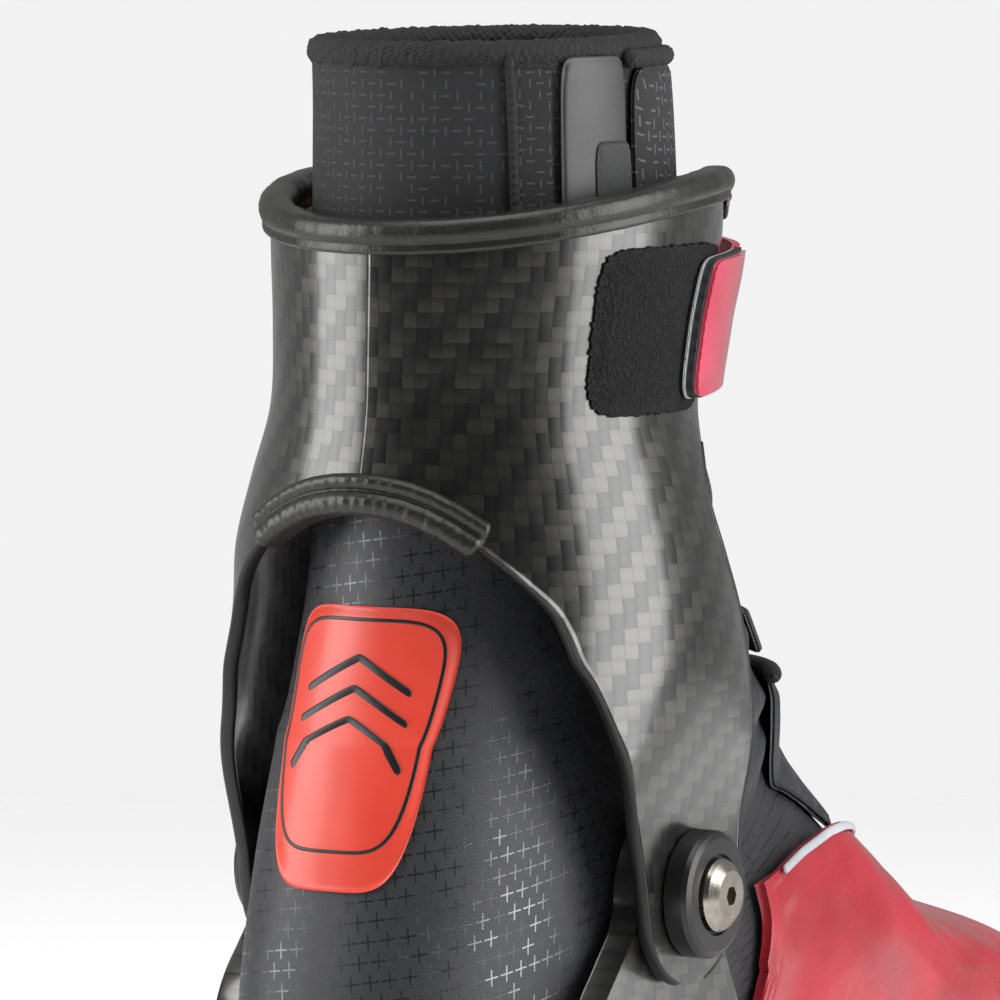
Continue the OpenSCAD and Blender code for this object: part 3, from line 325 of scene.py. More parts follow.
class CuffForm:
    """The carbon cuff's outer surface, as level sections, and the two edges that cut it."""

    ARM_OUT = 48.0
    ARM_R = 18.5
    ARCH = 179.0
    RIM = 231.0
    RISE = 8.5
    WALL = 2.5

    def __init__(self) -> None:
        """Set up the edges and the sections: height, centre, half depth, half width, squareness."""
        z, arm = PIVOT_Z, self.ARM_OUT
        self.sections = Table([
            [z - 22, 0, 0, 57, arm, 5], [z, 0, 0, 57, arm, 5], [z + 15, -1, 0, 57, arm + 0.2, 4],
            [z + 33, -2, -1.8, 57, arm + 2.3, 2.5], [z + 46, -3, -2.2, 57, arm + 3.2, 2.1],
            [z + 57, -3, -2, 55.3, arm + 2.7, 2], [z + 70, -3.3, -1.3, 53, arm + 1.6, 2],
            [z + 84, -3.5, -1.5, 50, 46.2, 2], [z + 98, -4.2, -2, 47.2, 42.2, 2],
            [z + 114, -3, -2.5, 48.5, 42.4, 2], [z + 131, -1, -3, 51, 44, 2],
            [z + 150, -1, -3, 51, 44, 2],
        ])
        h, r, rim, rise = self.ARCH, PIVOT_Z, self.RIM, self.RISE
        self.inner = Spline([
            (0, h), (12, h - 1.2), (22, h - 4.4), (31, h - 9.2), (38, h - 14), (43.5, h - 18.5),
            (47.5, h - 22.5), (49.8, h - 26.5), (51.4, h - 30), self.side(-37.6, r + 49.5),
            self.side(-35.6, r + 45.5), self.side(-33.6, r + 41), self.side(-31.2, r + 35.5),
            self.side(-28.4, r + 29), self.side(-25.2, r + 21.5), self.side(-22, r + 13.5),
            self.side(-19.6, r + 6), self.tip(88, -1), self.tip(62, -1), self.tip(38, -1),
            self.tip(14, -1), self.tip(0, -1),
        ], mirrored=True)
        self.outer = Spline([
            (0, rim), (20, rim + 0.05 * rise), (40, rim + 0.22 * rise), (60, rim + 0.48 * rise),
            (80, rim + 0.76 * rise), (100, rim + 0.95 * rise), (119, rim + rise),
            (134, rim + 0.6 * rise), (139, rim - 8), (130, rim - 24), (114, rim - 38),
            self.side(7, r + 82), self.side(10.5, r + 68), self.side(18.5, r + 54),
            self.side(21.8, r + 40), self.side(21.6, r + 26), self.side(20.2, r + 12),
            self.tip(88, 1), self.tip(62, 1), self.tip(38, 1), self.tip(14, 1), self.tip(0, 1),
        ], mirrored=True)

    def side(self, x: float, z: float) -> tuple[float, float]:
        """Angle and height of the cuff's outer side at x and z."""
        s = self.sections.at(np.array(z))
        a = (s[0] - x) / s[2]
        width = (1 - abs(a) ** s[4]) ** (1 / s[4])
        return math.degrees(math.atan2(width, a)), z

    def tip(self, angle: float, way: int) -> tuple[float, float]:
        """A point on the round end of the arm."""
        a = math.radians(angle)
        return self.side(way * self.ARM_R * math.sin(a), PIVOT_Z - self.ARM_R * math.cos(a))

    def level(self, u: Array, z: Array) -> Array:
        """Points of the level superellipses: angle from the back (outer side positive), height."""
        s = self.sections.at(z)
        c, n = np.cos(np.radians(u)), np.sin(np.radians(u))
        e = s[..., 4]
        r = (np.abs(c) ** e + np.abs(n) ** e) ** (-1 / e)
        x, y = s[..., 0] - s[..., 2] * c * r, s[..., 1] - s[..., 3] * n * r
        return np.stack([x, y, z + 0 * u], -1)

    def normal(self, u: Array, z: Array) -> Array:
        """The way out of the surface."""
        return unit(np.cross(self.level(u + 0.5, z) - self.level(u - 0.5, z),
                             self.level(u, z + 0.5) - self.level(u, z - 0.5)))

    def point(self, u: Array, z: Array, off: Array | float = 0.0) -> Array:
        """Points at a distance from the surface."""
        u, z = np.broadcast_arrays(np.asarray(u, float), np.asarray(z, float))
        return self.level(u, z) + np.asarray(off)[..., None] * self.normal(u, z)

    def place(self, s: Array, f: Array) -> tuple[Array, Array]:
        """Angle and height at s along the cuff's edges and f of the way from arch to rim."""
        s, f = np.broadcast_arrays(np.asarray(s, float), np.asarray(f, float))
        p = mix(self.inner.at(np.abs(s)), self.outer.at(np.abs(s)), f[..., None])
        return np.where(s < 0, -p[..., 0], p[..., 0]), p[..., 1]

    def ribbon(self, s: Array, f: Array, off: Array | float = 0.0) -> Array:
        """Points of the cut cuff."""
        return self.point(*self.place(s, f), off)

    def edge(self, s: Array, f: float) -> tuple[Array, Array, Array]:
        """Place, outward normal and way out of the sheet along an edge (f is 0 or 1)."""
        u, z = self.place(s, f)
        n = self.normal(u, z)
        t = unit(self.ribbon(s + 0.05, f) - self.ribbon(s - 0.05, f))
        c = unit(np.cross(t, n))
        away = self.ribbon(s, f) - self.ribbon(s, 0.05 if f < 0.5 else 0.95)
        sign = np.where((c * away).sum(-1) < 0, -1.0, 1.0)
        return self.ribbon(s, f), n, c * sign[..., None]


class BootieForm:
    """The bootie's outer surface: sections cut by upright planes over the foot, a fan of planes
    round the heel, and level planes up the leg."""

    FX = 105.0
    FZ = PIVOT_Z + 33
    FORE = 114.0
    LEG = 136.5
    TOP = 90 + LEG
    HW = 37.5
    BALL = 45.5

    def __init__(self) -> None:
        """Set up the sections: key, near and far distance, half width, centre, squareness."""
        f, b, h = self.FORE, self.BALL, self.HW
        deg = lambda k: math.cos(math.radians(k))
        self.sections = Table([
            [-f + 1, 96, 109, 11, 2, 2, 3], [-f + 4, 89, 111.5, 21, 2, 2, 4],
            [-f + 12, 78, 113, 33, 2, 2, 5], [-f * 0.74, 69, 113.5, b - 4.5, 1.5, 2, 6],
            [-f * 0.54, 60, 113.5, b - 0.5, 1, 2, 6], [-f * 0.34, 54, 113, b, 0.5, 2, 6],
            [-f * 0.15, 47, 111.5, b - 2, 0, 2, 6], [0, 32, 110, b - 4.5, 0, 2, 5.5],
            [20, 23.5, 108.5 / deg(20), h + 2.5, 0, 2, 5],
            [38, 19.5, 107 / deg(38), h - 0.5, 0, 2.1, 5],
            [50, 18, 106 / deg(50), h - 1, 0, 2.2, 4.5],
            [56, 17.3, 105 / deg(56), h - 1, 0, 2.3, 3.8], [60, 17, 199, h - 0.8, 0, 2.3, 3],
            [65.5, 16.8, 191.5, h - 0.6, 0, 2.3, 2.8], [72.6, 16.4, 180.5, h - 0.2, 0, 2.3, 2.7],
            [80.8, 16.2, 169.7, h, 0, 2.3, 2.5], [90, 16, 161.5, h - 0.3, -0.3, 2.2, 2.3],
            [105, 26, 156, h - 1.5, -0.7, 2.2, 2.2], [120, 37, 152.5, h - 2.7, -1, 2.1, 2.1],
            [138, 42, 151, h - 2.8, -1.6, 2, 2], [149, 54, 150.2, h - 2.9, -1.9, 2, 2],
            [160, 62.5, 149.8, h - 3, -2.2, 2, 2],
            [176, 64, 149.8, h - 3, -2.4, 2, 2], [195, 68, 149.6, h - 3.6, -2.4, 2, 2],
            [self.TOP, 70.5, 149.4, h - 4, -2.4, 2, 2],
        ])
        self.sole_line = Table([
            [-79, 62], [-50, 62], [-28, 64], [0, 66], [30, 58], [55, 42], [85, 34], [110, 31],
            [150, 29], [200, 30], [230, 32],
        ])

    def point(self, k: Array, w: Array, off: Array | float = 0.0) -> Array:
        """Points at key k and angle w (0 at the front, positive to the inner side)."""
        k, w = np.broadcast_arrays(np.asarray(k, float), np.asarray(w, float))
        s = self.sections.at(k)
        c, n = np.cos(np.radians(w)), np.sin(np.radians(w))
        e = mix(s[..., 4], s[..., 5], (1 - c) / 2)
        r = (s[..., 0] + s[..., 1]) / 2 - ((s[..., 1] - s[..., 0]) / 2 + off) * power(c, 2 / e)
        fan = np.radians(np.clip(k, 0, 90))
        x = self.FX + np.maximum(-k, 0) - r * np.sin(fan)
        z = self.FZ + np.maximum(k - 90, 0) - r * np.cos(fan)
        return np.stack([x, s[..., 3] + (s[..., 2] + off) * power(n, 2 / e), z], -1)

    def rand(self, k: Array) -> Array:
        """Angle round the section at which the chassis ends."""
        s = self.sections.at(k)
        m, g = (s[..., 0] + s[..., 1]) / 2, (s[..., 1] - s[..., 0]) / 2
        x = np.where(k < 0, self.FX - k,
                     self.FX - (self.FZ - 60) * np.tan(np.radians(np.clip(k, 0, 69))))
        drop = np.where(k < 0, 1, np.cos(np.radians(np.clip(k, 0, 89))))
        r = (self.FZ - self.sole_line.at(x)[..., 0]) / drop
        c = np.clip((r - m) / g, -0.9, 0.9995)
        e = mix(s[..., 4], s[..., 5], 0.8)
        return np.degrees(np.arccos(-power(c, e / 2)))

    def cord(self, path: Sequence[Sequence[float]], off: float, radius: float, n: int = 60,
             sides: int = 12, flat: float = 1.0) -> Array:
        """Rings of a cord that lies on the bootie through (key, angle) pairs."""
        spots = Spline(path).at(np.linspace(0, len(path) - 1, n))
        k, w = spots[:, 0], spots[:, 1]
        here = self.point(k, w, off)
        return cord_rings(here, self.point(k, w, off + 1) - here, radius, sides, flat)

    def patch(self, k: tuple[float, float], w: tuple[float, float], off: float, thick: float,
              size: tuple[int, int] = (24, 24), corner: float = 16.0, crown: float = 0.0,
              shape: Callable[[Array, Array], Array] | None = None) -> Skin:
        """A piece of cloth on the bootie between two keys and two angles.

        Args:
            k: Lowest and highest key.
            w: First and last angle.
            off: Room under the piece.
            thick: Its thickness.
            size: Spans down and across.
            corner: Exponent of its outline; a small one rounds the corners more.
            crown: How far its middle stands above its edges.
            shape: More height, as a function of the two grid coordinates.

        Returns:
            The closed mesh.
        """
        a, b = grid(np.linspace(-1, 1, size[0] + 1), np.linspace(-1, 1, size[1] + 1))
        p, q = rounded(a, b, corner)
        keys, angles = mix(k[0], k[1], (p + 1) / 2), mix(w[0], w[1], (q + 1) / 2)
        reach = np.maximum(np.abs(a), np.abs(b))
        more = crown * (1 - reach ** 4) - 0.5 * thick * smooth(0.93, 1, reach)
        if shape is not None:
            more = more + shape(a, b)
        top = self.point(keys, angles, off + thick + more)
        return patch_skin(top, self.point(keys, angles, off))


# ---- materials -----------------------------------------------------------------------------


class Bench:
    """The node tree of one material, with its shader."""

    def __init__(self, name: str) -> None:
        """Make the material with a plain shader joined to its output."""
        self.material = bpy.data.materials.new(name)
        self.material.use_nodes = True
        self.tree = self.material.node_tree
        self.tree.nodes.clear()
        self.shader = self.tree.nodes.new("ShaderNodeBsdfPrincipled")
        output = self.tree.nodes.new("ShaderNodeOutputMaterial")
        self.tree.links.new(self.shader.outputs[0], output.inputs[0])

    def node(self, kind: str, settings: dict[str, Any] | None = None,
             sockets: dict[Any, Any] | None = None, out: int | str = 0) -> "Value":
        """Add a node.

        Args:
            kind: The node's type.
            settings: Its own settings, which are set first.
            sockets: Values or links of its inputs, by name or number.
            out: The output that is returned.

        Returns:
            That output.
        """
        made = self.tree.nodes.new(kind)
        for name, value in (settings or {}).items():
            setattr(made, name, value)
        for name, value in (sockets or {}).items():
            self.feed(made.inputs[name], value)
        return Value(self, made.outputs[out])

    def feed(self, socket: Any, value: Any) -> None:
        """Set a socket to a constant, or link a value to it."""
        if isinstance(value, Value):
            self.tree.links.new(value.socket, socket)
        elif isinstance(value, tuple) and len(value) == 3 and socket.type == "RGBA":
            socket.default_value = (*value, 1.0)
        else:
            socket.default_value = value

    def split(self, vector: "Value") -> tuple["Value", "Value", "Value"]:
        """The three parts of a vector."""
        made = self.tree.nodes.new("ShaderNodeSeparateXYZ")
        self.feed(made.inputs[0], vector)
        x, y, z = (Value(self, out) for out in made.outputs)
        return x, y, z

    def uv(self) -> tuple["Value", "Value"]:
        """Millimetres across and along the cloth."""
        return self.split(self.node("ShaderNodeUVMap", {"uv_map": "cloth"}))[:2]

    def place(self) -> "Value":
        """The piece's own coordinates, in metres."""
        return self.node("ShaderNodeTexCoord", out="Object")

    def height(self) -> "Value":
        """Height above the floor, in millimetres."""
        return self.split(self.place())[2] * 1000

    def noise(self, size: float, detail: float = 2.0) -> "Value":
        """Soft noise from 0 to 1 with features of about size millimetres."""
        return self.node("ShaderNodeTexNoise", sockets={
            "Vector": self.place(), "Scale": 1000 / size, "Detail": detail}, out="Fac")

    def chance(self, a: "Value", b: "Value") -> "Value":
        """A number from 0 to 1 that depends on two values alone."""
        pair = self.node("ShaderNodeCombineXYZ", sockets={0: a, 1: b})
        return self.node("ShaderNodeTexWhiteNoise", {"noise_dimensions": "2D"}, {"Vector": pair})

    def colour(self, f: "Value", a: Any, b: Any) -> "Value":
        """A colour from a to b by the fraction f."""
        made = self.tree.nodes.new("ShaderNodeMix")
        made.data_type = "RGBA"
        for socket, value in zip((0, 6, 7), (f, a, b)):
            self.feed(made.inputs[socket], value)
        return Value(self, made.outputs[2])

    def finish(self, bump: "Value | None" = None, depth: float = 0.1, **sockets: Any
               ) -> bpy.types.Material:
        """Set the shader's sockets, with spaces for underscores.

        Args:
            bump: Height of the surface's relief, from 0 to 1.
            depth: The relief's depth in millimetres.
            **sockets: Values or links of the shader's inputs.

        Returns:
            The finished material.
        """
        for name, value in sockets.items():
            self.feed(self.shader.inputs[name.replace("_", " ")], value)
        if bump is not None:
            normal = self.node("ShaderNodeBump", sockets={
                "Height": bump, "Strength": 1.0, "Distance": depth * MM}, out="Normal")
            self.feed(self.shader.inputs["Normal"], normal)
        return self.material


class Value:
    """One number in a material; Python's operators add Math nodes."""

    def __init__(self, bench: Bench, socket: Any) -> None:
        """Wrap a socket of the bench's tree."""
        self.bench, self.socket = bench, socket

    def math(self, operation: str, *others: Any) -> "Value":
        """The result of a Math node on this value and others."""
        return self.bench.node("ShaderNodeMath", {"operation": operation},
                               dict(enumerate((self, *others))))

    def turned(self, operation: str, other: Any) -> "Value":
        """The result of a Math node with this value second."""
        return self.bench.node("ShaderNodeMath", {"operation": operation}, {0: other, 1: self})

    def __add__(self, other: Any) -> "Value":
        """The sum."""
        return self.math("ADD", other)

    __radd__ = __add__

    def __mul__(self, other: Any) -> "Value":
        """The product."""
        return self.math("MULTIPLY", other)

    __rmul__ = __mul__

    def __sub__(self, other: Any) -> "Value":
        """The difference."""
        return self.math("SUBTRACT", other)

    def __rsub__(self, other: Any) -> "Value":
        """The difference the other way round."""
        return self.turned("SUBTRACT", other)

    def __truediv__(self, other: Any) -> "Value":
        """The quotient."""
        return self.math("DIVIDE", other)

    def __lt__(self, other: Any) -> "Value":
        """1 where this is smaller."""
        return self.math("LESS_THAN", other)

    def __gt__(self, other: Any) -> "Value":
        """1 where this is larger."""
        return self.math("GREATER_THAN", other)

    def __abs__(self) -> "Value":
        """The size without its sign."""
        return self.math("ABSOLUTE")

    def floor(self) -> "Value":
        """The whole number below."""
        return self.math("FLOOR")

    def fract(self) -> "Value":
        """What is above the whole number."""
        return self.math("FRACT")

    def larger(self, other: Any) -> "Value":
        """The larger of two."""
        return self.math("MAXIMUM", other)

    def sine(self) -> "Value":
        """The sine, of radians."""
        return self.math("SINE")

    def wave(self, pitch: float) -> "Value":
        """A sine from 0 to 1 with that many units between its crests."""
        return (self * (2 * math.pi / pitch)).sine() * 0.5 + 0.5

    def off_middle(self) -> "Value":
        """Distance from the middle of its whole step, 0 to 0.5."""
        return abs(self.fract() - 0.5)

    def rise(self, low: float, high: float) -> "Value":
        """0 below low, 1 above high, smooth between."""
        return self.bench.node("ShaderNodeMapRange", {"interpolation_type": "SMOOTHSTEP"},
                               {0: self, 1: low, 2: high})


Colour = tuple[float, float, float]


@dataclass(frozen=True)
class Carbon:
    """Twill carbon cloth, two over and two under, beneath a clear coat."""

    name: str = "carbon_twill"
    tow: float = 3.0
    dark: Colour = (0.016, 0.016, 0.017)
    light: Colour = (0.07, 0.069, 0.065)
    metal: float = 0.85
    roughness: float = 0.33
    seam: float = 0.455
    wander: float = 0.5

    def make(self) -> bpy.types.Material:
        """The floats of warp and weft differ in tone as painted reflection, and each bulges across
        its tow, lighter at its crest as painted sheen.
        """
        b = Bench(self.name)
        u, v = b.uv()
        wobble = (b.noise(9) - 0.5) * self.wander
        across, along = (u + wobble) / self.tow, (v + wobble) / self.tow
        i, j = across.floor(), along.floor()
        warp = ((i - j) / 4).fract() < 0.49
        own = b.chance(i + warp * 31, j - warp * 17 + (i * 0.25).floor())
        swell = (across.fract() - 0.5) * (1 - warp) + (along.fract() - 0.5) * warp
        round_tow = 1 - swell * swell * 4
        seam = ((across.off_middle() > self.seam) * warp
                + (along.off_middle() > self.seam) * (1 - warp))
        strand = ((u * warp + v * (1 - warp)) * 21 + b.noise(1.6) * 6).sine() * 0.5 + 0.5
        # Painted reflection: warp floats lighter than weft. Painted sheen: each tow lighter at its
        # crest (round_tow). own and strand are random tone and fibre grain.
        tone = warp * 0.52 + own * 0.16 + strand * 0.12 + round_tow * 0.2
        tone = tone * (1 - seam * 0.4)
        colour = b.colour(tone, self.dark, self.light)
        return b.finish(round_tow * 0.7 + strand * 0.12, 0.08, Base_Color=colour,
                        Metallic=self.metal, Roughness=self.roughness - warp * 0.06 + own * 0.1,
                        Coat_Weight=1.0, Coat_Roughness=0.17, Coat_IOR=1.55)


@dataclass(frozen=True)
class Rubber:
    """Dull rubber or plastic with a fine grain."""

    name: str
    tint: Colour = (0.022, 0.022, 0.022)
    grain: float = 0.7
    roughness: float = 0.42
    depth: float = 0.06
    worn: float = 0.5

    def make(self) -> bpy.types.Material:
        """Speckled grain, with paler scuffs."""
        b = Bench(self.name)
        fine, wide = b.noise(self.grain, 3), b.noise(11, 3)
        scuff = (fine * 0.6 + wide * 0.4).rise(0.5, 0.75)
        colour = b.colour(scuff * self.worn, self.tint, tuple(2.6 * c for c in self.tint))
        return b.finish(fine, self.depth, Base_Color=colour,
                        Roughness=self.roughness + (wide - 0.5) * 0.25)


@dataclass(frozen=True)
class Softshell:
    """Smooth charcoal cloth with printed plus marks, some pale with painted glints, and a woven
    collar above a height.
    """

    name: str = "softshell_and_collar"
    pitch: float = 4.1
    base: Colour = (0.016, 0.017, 0.019)
    worn: Colour = (0.034, 0.034, 0.037)
    # Pale colour that paints glints on some plus marks; dull_mark is the marks' own colour.
    mark: Colour = (0.21, 0.21, 0.22)
    dull_mark: Colour = (0.055, 0.055, 0.058)
    dash: Colour = (0.06, 0.061, 0.064)
    weave: tuple[Colour, Colour] = ((0.007, 0.007, 0.008), (0.02, 0.02, 0.022))
    turn: float = 0.16
    change: float = 205.0

    def make(self) -> bpy.types.Material:
        """Plus marks in staggered rows, pale in noise patches as painted glints; above, short dashes
        both ways on a fine weave.
        """
        b = Bench(self.name)
        u, v = b.uv()
        a, c = (u + v * self.turn) / self.pitch, (v - u * self.turn) / self.pitch
        row = c.floor()
        a = a + row * 0.5
        x, y = a.off_middle(), c.off_middle()
        plus = ((x < 0.045) * (y < 0.42)).larger((y < 0.045) * (x < 0.42))
        upper = b.height().rise(self.change - 1, self.change + 1)
        dash, thread = woven_dashes(b, u, v, 2.3)
        fine = ((u * 9.5).sine() * (v * 9.5).sine()) * 0.5 + 0.5
        cloud = b.noise(14, 3)
        # Painted glint: noise patches where some plus marks are lightened as if they reflected
        # light.
        painted_glint = b.noise(24, 2).rise(0.44, 0.66) * (b.chance(a.floor(), row) > 0.35)
        mark = b.colour(painted_glint, self.dull_mark, self.mark)
        low = b.colour(plus, b.colour(cloud * 0.6, self.base, self.worn), mark)
        high = b.colour(dash * 0.55, b.colour(thread, *self.weave), self.dash)
        lower = 1 - upper
        relief = (fine * 0.35 + plus * 0.5) * lower + (thread * 0.5 + dash * 0.6) * upper
        return b.finish(relief, 0.09, Base_Color=b.colour(upper, low, high),
                        Metallic=plus * lower * 0.85,
                        Roughness=(0.5 - plus * 0.2) * lower + upper * 0.8)


def woven_dashes(b: Bench, u: Value, v: Value, pitch: float) -> tuple[Value, Value]:
    """Masks of a cloth with short dashes: the dashes, and its threads.

    Args:
        b: The material's bench.
        u: Millimetres across.
        v: Millimetres along.
        pitch: Distance between dashes.

    Returns:
        The dashes, which lie across in one cell and along in the next, and the threads.
    """
    a, c = u / pitch, v / pitch
    odd = ((a.floor() + c.floor()) / 2).fract() > 0.25
    x, y = a.off_middle(), c.off_middle()
    level = (x < 0.4) * (y < 0.09)
    upright = (y < 0.4) * (x < 0.09)
    broken = b.chance(a.floor(), c.floor()) > 0.3
    dash = (level * odd + upright * (1 - odd)) * broken
    thread = (u * 7.5).sine() * (v * 7.5).sine() * 0.5 + 0.5
    return dash, thread


@dataclass(frozen=True)
class Knit:
    """Soft woven or knitted cloth, with rows of dashes if wanted."""

    name: str
    tint: Colour = (0.012, 0.012, 0.013)
    pale: Colour = (0.03, 0.03, 0.032)
    dash: Colour | None = None
    pitch: float = 2.6
    rib: float = 6.3
    roughness: float = 0.85
    depth: float = 0.12

    def make(self) -> bpy.types.Material:
        """Crossed threads with fluff, and dashes over them."""
        b = Bench(self.name)
        u, v = b.uv()
        dash, _ = woven_dashes(b, u, v, self.pitch)
        thread = (u * self.rib).sine() * (v * self.rib).sine() * 0.5 + 0.5
        fluff = b.noise(0.7, 3)
        colour = b.colour(thread * 0.5 + fluff * 0.5, self.tint, self.pale)
        relief = thread * 0.6 + fluff * 0.6
        if self.dash is not None:
            colour = b.colour(dash * 0.7, colour, self.dash)
            relief = relief + dash * 0.5
        return b.finish(relief, self.depth, Base_Color=colour, Roughness=self.roughness)


@dataclass(frozen=True)
class Webbing:
    """Ribbed webbing: twill ribs across the band."""

    name: str
    tint: Colour = (0.012, 0.012, 0.013)
    pale: Colour = (0.06, 0.06, 0.062)
    rib: float = 0.9
    slant: float = 1.0
    coat: float = 0.0

    def make(self) -> bpy.types.Material:
        """Slanting ribs, each a row of yarn."""
        b = Bench(self.name)
        u, v = b.uv()
        ribs = (u * self.slant + v).wave(self.rib)
        yarn = u.wave(0.6 * self.rib)
        tone = ribs * 0.7 + yarn * 0.15 + b.noise(1.2, 2) * 0.3
        return b.finish(tone, 0.14, Base_Color=b.colour(tone, self.tint, self.pale),
                        Roughness=0.72 - ribs * 0.1, Coat_Weight=self.coat, Coat_Roughness=0.1)


@dataclass(frozen=True)
class Film:
    """Coated red cloth or moulded film: smooth colour with a clear gloss and a faint weave."""

    name: str
    tint: Colour = (0.62, 0.04, 0.06)
    deep: Colour = (0.45, 0.022, 0.035)
    gloss: float = 0.5
    roughness: float = 0.35
    weave: float = 1.1
    depth: float = 0.03
    clear: float = 0.08

    def make(self) -> bpy.types.Material:
        """Slow changes of tone, faint threads, and slight dents under the gloss."""
        b = Bench(self.name)
        u, v = b.uv()
        thread = (u * 2 * math.pi / self.weave).sine() * (v * 2 * math.pi / self.weave).sine()
        slow = b.noise(16, 3)
        colour = b.colour(slow.rise(0.3, 0.75), self.deep, self.tint)
        return b.finish(thread * 0.2 + slow * 1.5 + b.noise(2.5, 2) * 0.3, self.depth,
                        Base_Color=colour, Roughness=self.roughness + (slow - 0.5) * 0.2,
                        Coat_Weight=self.gloss, Coat_Roughness=self.clear)


@dataclass(frozen=True)
class Pile:
    """Hook or loop pile: deep black fluff with a few caught highlights."""

    name: str
    tint: Colour = (0.004, 0.004, 0.004)
    pale: Colour = (0.03, 0.03, 0.03)
    loop: float = 0.55

    def make(self) -> bpy.types.Material:
        """Noise at two sizes, raised."""
        b = Bench(self.name)
        fine, wide = b.noise(self.loop, 4), b.noise(self.loop * 3, 2)
        tone = (fine * 0.75 + wide * 0.25).rise(0.42, 0.75)
        return b.finish(tone, 0.5, Base_Color=b.colour(tone, self.tint, self.pale), Roughness=0.95)


@dataclass(frozen=True)
class Steel:
    """Turned or brushed metal."""

    name: str
    tint: Colour = (0.42, 0.39, 0.34)
    roughness: float = 0.28
    mark: float = 0.35

    def make(self) -> bpy.types.Material:
        """Fine turning marks and a few dull spots."""
        b = Bench(self.name)
        fine, wide = b.noise(0.35, 2), b.noise(4, 3)
        colour = b.colour(wide.rise(0.35, 0.8), self.tint, tuple(0.6 * c for c in self.tint))
        return b.finish(fine, 0.02, Base_Color=colour, Metallic=1.0,
                        Roughness=self.roughness + (wide - 0.5) * self.mark)


@dataclass(frozen=True)
class Zipper:
    """Woven tape with two rows of coil teeth down its middle."""

    name: str = "zip_tape"
    tooth: float = 1.3
    half: float = 1.9

    def make(self) -> bpy.types.Material:
        """Teeth by distance along the boot, tape beside them."""
        b = Bench(self.name)
        x, y = (part * 1000 for part in b.split(b.place())[:2])
        teeth = x.wave(self.tooth) * (abs(y) < self.half)
        tape = (y * 14).sine() * (x * 14).sine() * 0.5 + 0.5
        return b.finish(teeth + tape * 0.2, 0.35, Roughness=0.75 - teeth * 0.35,
                        Base_Color=b.colour(teeth, (0.012, 0.012, 0.012), (0.05, 0.05, 0.05)))


class Shelf:
    """Every finish of the boot, made once when it is first asked for."""

    RECIPES = {
        "carbon": Carbon(),
        "trim": Rubber("trim_rubber", (0.013, 0.013, 0.012), 0.8, 0.34, 0.09, 0.9),
        "sole": Rubber("sole_rubber", (0.02, 0.02, 0.021), 0.9, 0.6),
        "toe": Rubber("toe_rubber", (0.03, 0.03, 0.033), 0.6, 0.45),
        "nylon": Rubber("black_nylon", (0.01, 0.01, 0.01), 0.5, 0.34, 0.02, 0.3),
        "slip": Rubber("white_nylon", (0.6, 0.6, 0.57), 1.0, 0.5, 0.02, 0.1),
        "edge": Rubber("cut_edge", (0.006, 0.006, 0.006), 0.7, 0.4, 0.04, 0.4),
        "softshell": Softshell(),
        "binding": Knit("fuzzy_binding", (0.006, 0.006, 0.006), (0.022, 0.022, 0.023), rib=3.5,
                        depth=0.4),
        "panel": Knit("panel_knit", (0.012, 0.012, 0.013), (0.03, 0.03, 0.032),
                      (0.13, 0.13, 0.135), 2.6),
        "strip": Knit("collar_strip", (0.006, 0.006, 0.006), (0.016, 0.016, 0.017),
                      (0.06, 0.06, 0.062), 2.2),
        "lining": Knit("lining_knit", (0.03, 0.031, 0.034), (0.06, 0.062, 0.066)),
        "smooth": Rubber("smooth_synthetic", (0.036, 0.036, 0.038), 0.45, 0.42, 0.015, 0.3),
        "webbing": Webbing("black_webbing"),
        "tape": Webbing("strap_core", (0.01, 0.01, 0.01), (0.035, 0.035, 0.037), 0.7, 0.2),
        "reflective": Film("reflective_piping", (0.5, 0.52, 0.55), (0.36, 0.38, 0.41), 0.3, 0.4),
        "cover": Film("red_cover", (0.44, 0.018, 0.034), (0.32, 0.011, 0.02), 0.45, 0.28, 1.0, 0.1),
        "band": Film("red_strap", (0.58, 0.04, 0.07), (0.45, 0.022, 0.045), 0.4, 0.35, 0.8, 0.08),
        "gloss": Film("red_gloss", (0.62, 0.06, 0.11), (0.5, 0.035, 0.07), 1.0, 0.3, 2.0, 0.12,
                      0.05),
        "badge": Film("red_badge", (0.66, 0.045, 0.02), (0.6, 0.036, 0.016), 0.3, 0.42, 3.0,
                      0.01, 0.2),
        "print": Rubber("grey_print", (0.3, 0.31, 0.33), 1.0, 0.4, 0.01, 0.1),
        "ink": Rubber("black_print", (0.007, 0.007, 0.007), 1.0, 0.38, 0.01, 0.1),
        "clear": Film("clear_edge", (0.55, 0.56, 0.58), (0.42, 0.43, 0.45), 0.6, 0.3),
        "loop": Pile("loop_pile"),
        "hook": Pile("hook_pile", (0.005, 0.005, 0.005), (0.05, 0.048, 0.046), 0.45),
        "bolt": Steel("bolt_steel"),
        "steel": Steel("steel", (0.55, 0.55, 0.56), 0.25),
        "enamel": Steel("zip_enamel", (0.03, 0.03, 0.03), 0.35),
        "zip": Zipper(),
        "lace": Webbing("lace_braid", (0.01, 0.01, 0.01), (0.05, 0.05, 0.052), 1.1),
        "foam": Knit("footbed_cloth", (0.06, 0.065, 0.075), (0.1, 0.105, 0.12)),
        "board": Rubber("fibre_board", (0.36, 0.32, 0.25), 0.9, 0.8, 0.05, 0.2),
    }
    made: dict[str, bpy.types.Material] = {}

    @classmethod
    def get(cls, name: str) -> bpy.types.Material:
        """The finish of that name."""
        if name not in cls.made:
            cls.made[name] = cls.RECIPES[name].make()
        return cls.made[name]


# ---- putting pieces in place ---------------------------------------------------------------

CUFF_FORM = CuffForm()
BOOTIE = BootieForm()


